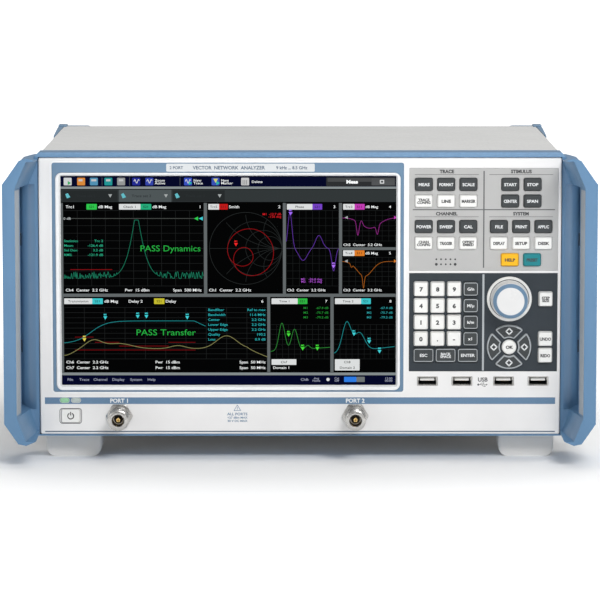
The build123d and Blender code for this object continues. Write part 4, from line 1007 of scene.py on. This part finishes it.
def picture_tools(picture):
    """The row of small tool signs, each drawn from simple shapes."""
    height, centre = 0.036, 0.973
    tiles = ((0.010, (0.75, 0.77, 0.78)), (0.050, (0.85, 0.30, 0.05)), (0.088, (0.10, 0.34, 0.55)),
             (0.131, (0.02, 0.36, 0.36)), (0.169, (0.36, 0.37, 0.37)), (0.214, (0.02, 0.03, 0.34)),
             (0.253, (0.04, 0.07, 0.48)), (0.368, (0.05, 0.10, 0.62)), (0.450, (0.05, 0.10, 0.55)),
             (0.538, (0.72, 0.72, 0.72)))
    for u, colour in tiles:
        picture.box(u, u + 0.0235, centre - height / 2, centre + height / 2, colour, 3, 0.9, 0.6 * MM)
    for u, colour in ((0.022, (0.04, 0.42, 0.12)), (0.382, (0.03, 0.50, 0.42)), (0.464, (0.03, 0.50, 0.42))):
        picture.polygon(u, 0.966, ((0, 1.6), (0, -1.6), (2.6, 0)), picture.lamp(colour), 4)
    for u, width in ((0.054, 0.012), (0.092, 0.015), (0.136, 0.013), (0.174, 0.013)):
        picture.box(u, u + width, 0.974, 0.984, WHITE_LIGHT, 4, 0.75)
    for u in (0.218, 0.256, 0.371):
        points = [picture.at(u + 0.001 + 0.0155 * i / 10, 0.974 + 0.009 * sin(i * 0.9)) for i in range(11)]
        picture.stroke(points, 0.45 * MM, picture.lamp(WHITE_LIGHT), 4)
    picture.polygon(0.462, 0.981, ((-1.8, 0.9), (1.8, 0.9), (0, -2.4)), picture.lamp((0.75, 0.72, 0.20)), 4)
    for i in range(3):
        picture.box(0.5425 + 0.0055 * i, 0.5445 + 0.0055 * i, 0.958, 0.980, (0.16, 0.17, 0.17), 4)
    for u, words in ((0.281, "Zoom\nActive"), (0.396, "New\nTrace"), (0.478, "New\nMarker"),
                     (0.569, "Delete")):
        picture.words(words, u, 0.972, WHITE_LIGHT, 1.5)
    for u in (0.124, 0.206, 0.356):
        picture.line(u, 0.954, u, 0.992, 0.2, picture.lamp(DIVIDER), 3)
    picture.box(0.791, 0.998, 0.951, 0.993, (0.030, 0.032, 0.034), 3, 1.0, 0.8 * MM)
    picture.box(0.795, 0.994, 0.972, 0.990, (0.075, 0.078, 0.080), 4, 1.0, 0.6 * MM)
    picture.words("Meas", 0.868, 0.972, WHITE_LIGHT, 2.1, "CENTER", 5, 1.4, bold=0.08)
    picture.box(0.926, 0.995, 0.955, 0.989, (0.12, 0.125, 0.13), 4, 0.8, 0.6 * MM)
    x, z = picture.at(0.957, 0.972)
    corners = [(x + across * MM, z + up * MM) for across, up in ((-1.3, -1.1), (1.3, -1.1), (1.3, 1.1),
                                                                 (-1.3, 1.1), (-1.3, -1.1))]
    picture.stroke(corners, 0.7 * MM, picture.lamp(WHITE_LIGHT), 5)


def filter_pane(picture):
    """The resonance peak over a noise floor, with its limit line and the verdict."""
    pane = (0.0075, 0.4255, 0.475, 0.835)
    picture.grid(pane, 10, 10)
    rng = random.Random(7)

    def peak(t):
        floor = 0.130 + 0.060 * rng.uniform(-1, 1)
        skirts = 0.86 * exp(-(abs(t - 0.522) / 0.062) ** 1.25)
        return min(0.875, max(floor, 0.10 + skirts * 1.05))

    picture.line(0.03, 0.797, 0.4255, 0.797, 0.3, picture.lamp((0.10, 0.11, 0.10)), 3)
    picture.trace(pane, peak, SEA_GREEN, 230, 0.4, strength=0.6)
    picture.line(0.028, 0.5535, 0.152, 0.5535, 0.4, picture.lamp(RED, 0.6), 4)
    picture.words("PASS Dynamics", 0.2355, 0.655, GREEN, 3.9, strength=0.75, wide=1.12, bold=0.0)
    rows = ("Statistics", "Trc 2"), ("Mean:", "-126.4 dB"), ("Std Dev:", "3.2 dB"), ("RMS:", "-121.9 dB")
    for line, (name, value) in enumerate(rows):
        v = 0.6905 - 0.0222 * line
        picture.words(name, 0.009, v, SEA_GREEN, 1.5)
        picture.words(value, 0.126, v, SEA_GREEN, 1.5, "RIGHT")
    picture.words("0 dB", 0.008, 0.797, DIM_LIGHT, 1.5)
    for u, colour in ((0.404, GREEN), (0.418, CYAN)):
        picture.polygon(u, 0.797, ((-1.7, 0), (1.4, 1.5), (1.4, -1.5)), picture.lamp(colour, 1.1), 5)
    picture.heading(0.853, (0.015, "Trc1"), (0.077, 0.031, GREEN, "S21"), (0.112, "dB Mag"),
                    (0.174, 0.064, WHITE_LIGHT, "Check 1"), (0.238, 0.032, (0.02, 0.46, 0.22), "S21"),
                    (0.273, "dB Mag"), (0.412, "1"))
    picture.heading(0.4555, (0.013, "Ch4  Center  2.2 GHz"), (0.190, "Pwr  15 dBm"))
    picture.words("Span  500 MHz", 0.419, 0.4555, WHITE_LIGHT, align="RIGHT")


def smith_pane(picture):
    """A Smith chart with a looped reflection curve."""
    centre = picture.at(0.551, 0.6545)
    radius = 0.108 * (picture.x1 - picture.x0)
    faint = picture.lamp((0.026, 0.030, 0.030))
    picture.ring(*centre, radius + 0.15 * MM, radius - 0.15 * MM, faint, 2, 72)
    for share in (0.33, 0.5, 0.75):
        r = radius * share
        picture.ring(centre[0] + radius - r, centre[1], r + 0.13 * MM, r - 0.13 * MM, faint, 2, 56)
    for share in (0.5, 1.0, 2.0):
        for side in (-1, 1):
            arc = []
            for i in range(90):
                x = centre[0] + radius + radius * share * cos(tau * i / 90)
                z = centre[1] + side * radius * share + radius * share * sin(tau * i / 90)
                if (x - centre[0]) ** 2 + (z - centre[1]) ** 2 <= radius**2:
                    arc.append((x, z))
                else:
                    picture.stroke(arc, 0.26 * MM, faint, 2)
                    arc = []
            picture.stroke(arc, 0.26 * MM, faint, 2)
    picture.stroke([(centre[0] - radius, centre[1]), (centre[0] + radius, centre[1])], 0.26 * MM, faint, 2)
    red = picture.lamp(RED, 0.55)
    loop = []
    for i in range(201):
        turn = i / 200 * 2 * tau
        swell = radius * (0.44 + 0.30 * cos(turn / 2))
        loop.append((centre[0] + 1.2 * MM + swell * cos(turn + 0.6),
                     centre[1] - 4.6 * MM + swell * sin(turn + 0.6)))
    picture.stroke(loop, 0.42 * MM, red, 4)
    picture.marker(0.522, 0.665, (0.85, 0.02, 0.02), "M1")
    picture.heading(0.853, (0.440, 0.032, WHITE_LIGHT, "Trc5"), (0.472, 0.026, (0.60, 0.01, 0.01), "S11"),
                    (0.501, "Smith"), (0.648, "2"))
    picture.words("M1  -12.7 dB\n-126 deg", 0.657, 0.812, RED, 1.35, "RIGHT")
    picture.heading(0.4555, (0.441, "Ch1  Center  2.2 GHz"))


def small_panes(picture):
    """The phase pane and the two reflection panes at the top right."""
    pane = (0.672, 0.829, 0.475, 0.835)
    picture.grid(pane, 8, 10, (0.013, 0.015, 0.015))
    picture.trace(pane, lambda t: 0.50 + 0.47 * bump_at(t, 0.07, 0.055) - 0.16 * bump_at(t, 0.32, 0.11)
                  + 0.17 * bump_at(t, 0.62, 0.09) - 0.30 * bump_at(t, 0.90, 0.05),
                  PURPLE, 120, 0.4, strength=0.6)
    picture.line(0.672, 0.655, 0.829, 0.655, 0.28, picture.lamp((0.11, 0.10, 0.16)), 3)
    picture.marker(0.685, 0.812, (0.36, 0.14, 0.95), "M1")
    picture.marker(0.813, 0.560, (0.42, 0.16, 0.90), "M2")
    picture.heading(0.853, (0.674, 0.076, WHITE_LIGHT, "Phase"), (0.750, 0.029, PURPLE, "S21"), (0.812, "3"))
    picture.words("M1   -26.4 deg\nM2   -91.2 deg", 0.716, 0.502, (0.30, 0.06, 0.45), 1.35)
    picture.heading(0.4555, (0.674, "Ch2  Center  2.2 GHz"), height=1.6)

    u0, u1 = 0.8395, 0.9975
    upper, lower = (u0, u1, 0.690, 0.835), (u0, u1, 0.475, 0.612)
    for number, (pane, colour, head, level) in enumerate(((upper, MAGENTA, 0.853, 0.802),
                                                          (lower, ORANGE, 0.632, 0.594))):
        picture.grid(pane, 8, 6, (0.013, 0.015, 0.015))
        picture.heading(head, (u0 + 0.002, 0.034, WHITE_LIGHT, f"Trc{3 + number}"),
                        (u0 + 0.036, 0.030, colour, "S11"), (u0 + 0.068, "dB Mag"), (0.978, str(4 + number)),
                        height=1.6)
        picture.polygon(u0 + 0.012, level, ((-1.5, 0), (1, 1.2), (1, -1.2)), picture.lamp(DIM_LIGHT), 5)
        picture.polygon(u1 - 0.004, level, ((0, -1.3), (0, 1.3), (2.2, 0)), picture.lamp(colour), 5)
    picture.trace(upper, lambda t: 0.76 - 0.34 * bump_at(t, 0.52, 0.24) - 0.44 * bump_at(t, 0.29, 0.03)
                  - 0.30 * bump_at(t, 0.66, 0.03) + 0.12 * bump_at(t, 0.36, 0.03),
                  MAGENTA, 120, 0.36, strength=0.55)
    picture.trace(lower, lambda t: 0.86 - 0.52 * bump_at(t, 0.42, 0.20) - 0.42 * bump_at(t, 0.40, 0.02)
                  - 0.10 * bump_at(t, 0.17, 0.02), ORANGE, 140, 0.36, strength=0.55)
    picture.heading(0.672, (0.842, "Ch5  Center  3.2 GHz"), height=1.6)
    picture.heading(0.4555, (0.842, "Ch3  Center  3.2 GHz"), height=1.6)


def lower_panes(picture):
    """The pass band with its delay, and the two panes beside it."""
    pane = (0.0075, 0.615, 0.125, 0.372)
    picture.grid(pane, 10, 10)
    picture.trace((0.0075, 0.43, 0.125, 0.372), lambda t: 0.30 + 0.44 / (1 + exp(-(t - 0.19) / 0.055))
                  - 0.10 * max(0.0, t - 0.92) / 0.08, TEAL, 120, 0.42, strength=0.75)
    picture.trace(pane, lambda t: 0.20 + 0.16 * bump_at(t, 0.145, 0.055) + 0.10 * bump_at(t, 0.27, 0.09)
                  - 0.13 * bump_at(t, 0.0, 0.06) + 0.06 * bump_at(t, 0.56, 0.05)
                  + 0.25 * bump_at(t, 0.80, 0.07) - 0.16 * max(0.0, t - 0.9) / 0.1, OLIVE, 160, 0.45)
    for u, v, label in ((0.131, 0.314, "M1"), (0.228, 0.320, "M2"), (0.254, 0.320, "M3"),
                        (0.376, 0.315, "M4")):
        picture.marker(u, v, CYAN, label)
    picture.marker(0.068, 0.209, (0.75, 0.62, 0.08), "M5")
    for u0, u1, v in ((0.040, 0.095, 0.230), (0.100, 0.172, 0.205), (0.172, 0.320, 0.187),
                      (0.320, 0.400, 0.205), (0.040, 0.400, 0.168)):
        picture.line(u0, v, u1, v, 0.35, picture.lamp(RED, 0.45), 3)
    picture.words("PASS Transfer", 0.222, 0.253, GREEN, 3.9, strength=0.75, wide=1.2, bold=0.0)
    rows = (("Bandfilter", "Ref to max"), ("Bandwidth", "11.6 MHz"), ("Center", "2.2 GHz"),
            ("Lower Edge", "2.2 GHz"), ("Upper Edge", "2.2 GHz"), ("Quality", "190.2"), ("Loss", "0.9 dB"))
    for line, (name, value) in enumerate(rows):
        v = 0.361 - 0.0236 * line
        picture.words(name, 0.438, v, TEAL, 1.55)
        picture.words(value, 0.610, v, TEAL, 1.55, "RIGHT")
    picture.heading(0.402, (0.0085, 0.084, WHITE_LIGHT, "Transmission"), (0.092, 0.032, CYAN, "S21"),
                    (0.128, "dB Mag        Delay 2"), (0.277, 0.031, YELLOW, "S21"), (0.311, "Delay"),
                    (0.597, "6"))
    for v, number in ((0.110, 6), (0.083, 7)):
        picture.heading(v, (0.013, f"Ch{number}  Center  2.2 GHz"), (0.280, "Pwr  15 dBm"))
        picture.words("Span  50 MHz", 0.610, v, WHITE_LIGHT, align="RIGHT")

    right = (((0.625, 0.804), (0.03, 0.50, 0.06), "Time 1", "7"), ((0.8145, 0.996), CYAN, "Time 2", "8"))
    for (u0, u1), colour, name, number in right:
        pane = (u0, u1, 0.125, 0.290)
        picture.grid(pane, 10, 7, (0.013, 0.015, 0.015))
        picture.heading(0.402, (u0 + 0.003, 0.078, WHITE_LIGHT, name), (u0 + 0.081, 0.029, colour, "S21"),
                        (u1 - 0.016, number), height=1.6)
        for line, value in enumerate(("-67.4 dB", "-75.7 dB", "-79.2 dB")):
            v = 0.370 - 0.0225 * line
            picture.words(f"M{line + 1}", u0 + 0.098, v, colour, 1.4, strength=0.55)
            picture.words(value, u1 - 0.006, v, colour, 1.4, "RIGHT", strength=0.55)
        picture.badge(u0 + 0.003, 0.110, 0.074, WHITE_LIGHT, "Ch" + number)
    picture.badge(0.8175, 0.083, 0.074, WHITE_LIGHT, "Domain 2")
    picture.words("Domain 1", 0.632, 0.083, WHITE_LIGHT, 1.6)
    picture.trace((0.625, 0.804, 0.125, 0.290), lambda t: 0.22 + 0.80 * bump_at(t, 0.19, 0.07)
                  + 0.60 * bump_at(t, 0.40, 0.07) + 0.10 * bump_at(t, 0.62, 0.05) + 0.12 * t,
                  (0.03, 0.26, 0.04), 120, 0.4)
    picture.trace((0.8145, 0.996, 0.125, 0.290), lambda t: 0.16 + 0.86 * bump_at(t, 0.21, 0.10)
                  + 0.52 * bump_at(t, 0.42, 0.12) + 0.20 * t, TEAL, 120, 0.4, strength=0.8)
    for u, v, label in ((0.679, 0.232, "M1"), (0.721, 0.166, "M2"), (0.765, 0.166, "M3")):
        picture.marker(u, v, (0.06, 0.72, 0.04), label)
    for u, v, label in ((0.8745, 0.236, "M1"), (0.920, 0.199, "M2"), (0.951, 0.152, "M3")):
        picture.marker(u, v, CYAN, label)


def screen_picture():
    """Everything that the screen shows, as one piece of lit shapes on the glass."""
    picture = Picture()
    picture_bars(picture)
    picture_tools(picture)
    filter_pane(picture)
    smith_pane(picture)
    small_panes(picture)
    lower_panes(picture)
    for u0, u1, v0, v1 in ((0.4265, 0.4360, *TOP_ROW), (0.662, 0.671, *TOP_ROW), (0.829, 0.8385, *TOP_ROW),
                           (0.615, 0.624, *LOW_ROW), (0.804, 0.8135, *LOW_ROW), (0.0, 1.0, 0.423, 0.438),
                           (0.8385, 1.0, 0.647, 0.660), (0.0, 0.0065, 0.062, 0.871)):
        picture.box(u0, u1, v0, v1, DIVIDER, 2, 0.8)
    picture.done("screen_picture", slot="screen_glass")
    glass = Surface("screen_glass", (0.002, 0.002, 0.003), 0.25, specular=0.1)
    glass.mottled(60.0, 0.1).grain(0.02, 0.00001, 0.05)
    nodes["touch_glass"].material_slots[0].material = glass.material


# ---------------------------------------------------------------- putting it together
bezel_lip()
handle_slot_shade()
name_plate()
port_stripe()
port_label()
light_lenses()
power_mark()
key_lettering()
for keys_with_rims in ("unit_keys", "edit_keys"):
    rimmed(keys_with_rims)
for way in ("up", "left", "down", "right"):
    pale_sloped(f"cursor_{way}_key")
cursor_marks()
plate_lines()
knob()
ports()
contact_fingers()
data_sockets()
data_label()
screen_picture()


# ---------------------------------------------------------------- studio
def area_light(name, place, aim, size, watts, colour=(1, 1, 1)):
    lamp = bpy.data.lights.new(name, "AREA")
    lamp.shape = "RECTANGLE"
    lamp.size, lamp.size_y = size
    lamp.energy = watts
    lamp.color = colour
    holder = bpy.data.objects.new(name, lamp)
    holder.location = place
    holder.rotation_euler = (Vector(aim) - Vector(place)).to_track_quat("-Z", "Y").to_euler()
    bpy.context.scene.collection.objects.link(holder)


def studio():
    """A pale floor that glows as painted light, soft lights from the upper right, and the camera."""
    scene = bpy.context.scene
    scene.view_settings.view_transform = "Standard"
    world = bpy.data.worlds.new("studio")
    world.use_nodes = True
    background = world.node_tree.nodes["Background"]
    socket(background, "Color", (1.0, 1.0, 1.0, 1.0))
    socket(background, "Strength", 0.35)
    scene.world = world

    bm = bmesh.new()
    bmesh.ops.create_grid(bm, x_segments=6, y_segments=6, size=16.0)
    mesh = bpy.data.meshes.new("floor")
    bm.to_mesh(mesh)
    bm.free()
    floor = bpy.data.objects.new("floor", mesh)
    scene.collection.objects.link(floor)
    paper = Surface("floor_paper", (0.92, 0.92, 0.92), 0.9, specular=0.1)
    paper.mottled(3.0, 0.003).grain(0.003, 0.0001, 0.1)
    # Painted light: the floor glows, faintly near the instrument and strongly far from it, so the far floor
    # reads white while the shade under the instrument stays.
    away = paper.node("ShaderNodeVectorMath", operation="LENGTH")
    paper.link(paper.place.outputs["Object"], away.inputs[0])
    socket(paper.shader, "Emission Color", (1.0, 1.0, 1.0, 1.0))
    glow = paper.spread(away.outputs["Value"], 0.02, 0.85, 0.22, 1.2)
    paper.link(glow, paper.shader.inputs["Emission Strength"])
    mesh.materials.append(paper.material)

    area_light("key_light", (0.85, -2.3, 1.95), (0, -0.1, 0.1), (1.1, 0.8), 46)
    area_light("fill_light", (-1.9, -2.1, 0.9), (0, -0.1, 0.1), (1.2, 1.0), 6)
    area_light("top_light", (0.2, 0.4, 2.2), (0, 0, 0.1), (2.0, 1.4), 22)

    distance, eye_height, aim_height, focal_length = 2.70, 0.454, 0.1251, 210.6
    eye = Vector((0.0, PANEL[2] - distance, eye_height))
    aim = Vector((0.0, PANEL[2], aim_height))
    camera = bpy.data.cameras.new("camera")
    camera.sensor_width = 36.0
    camera.lens = focal_length
    camera.clip_start, camera.clip_end = 0.1, 40.0
    holder = bpy.data.objects.new("camera", camera)
    holder.location = eye
    holder.rotation_euler = (aim - eye).to_track_quat("-Z", "Y").to_euler()
    scene.collection.objects.link(holder)
    scene.camera = holder


studio()
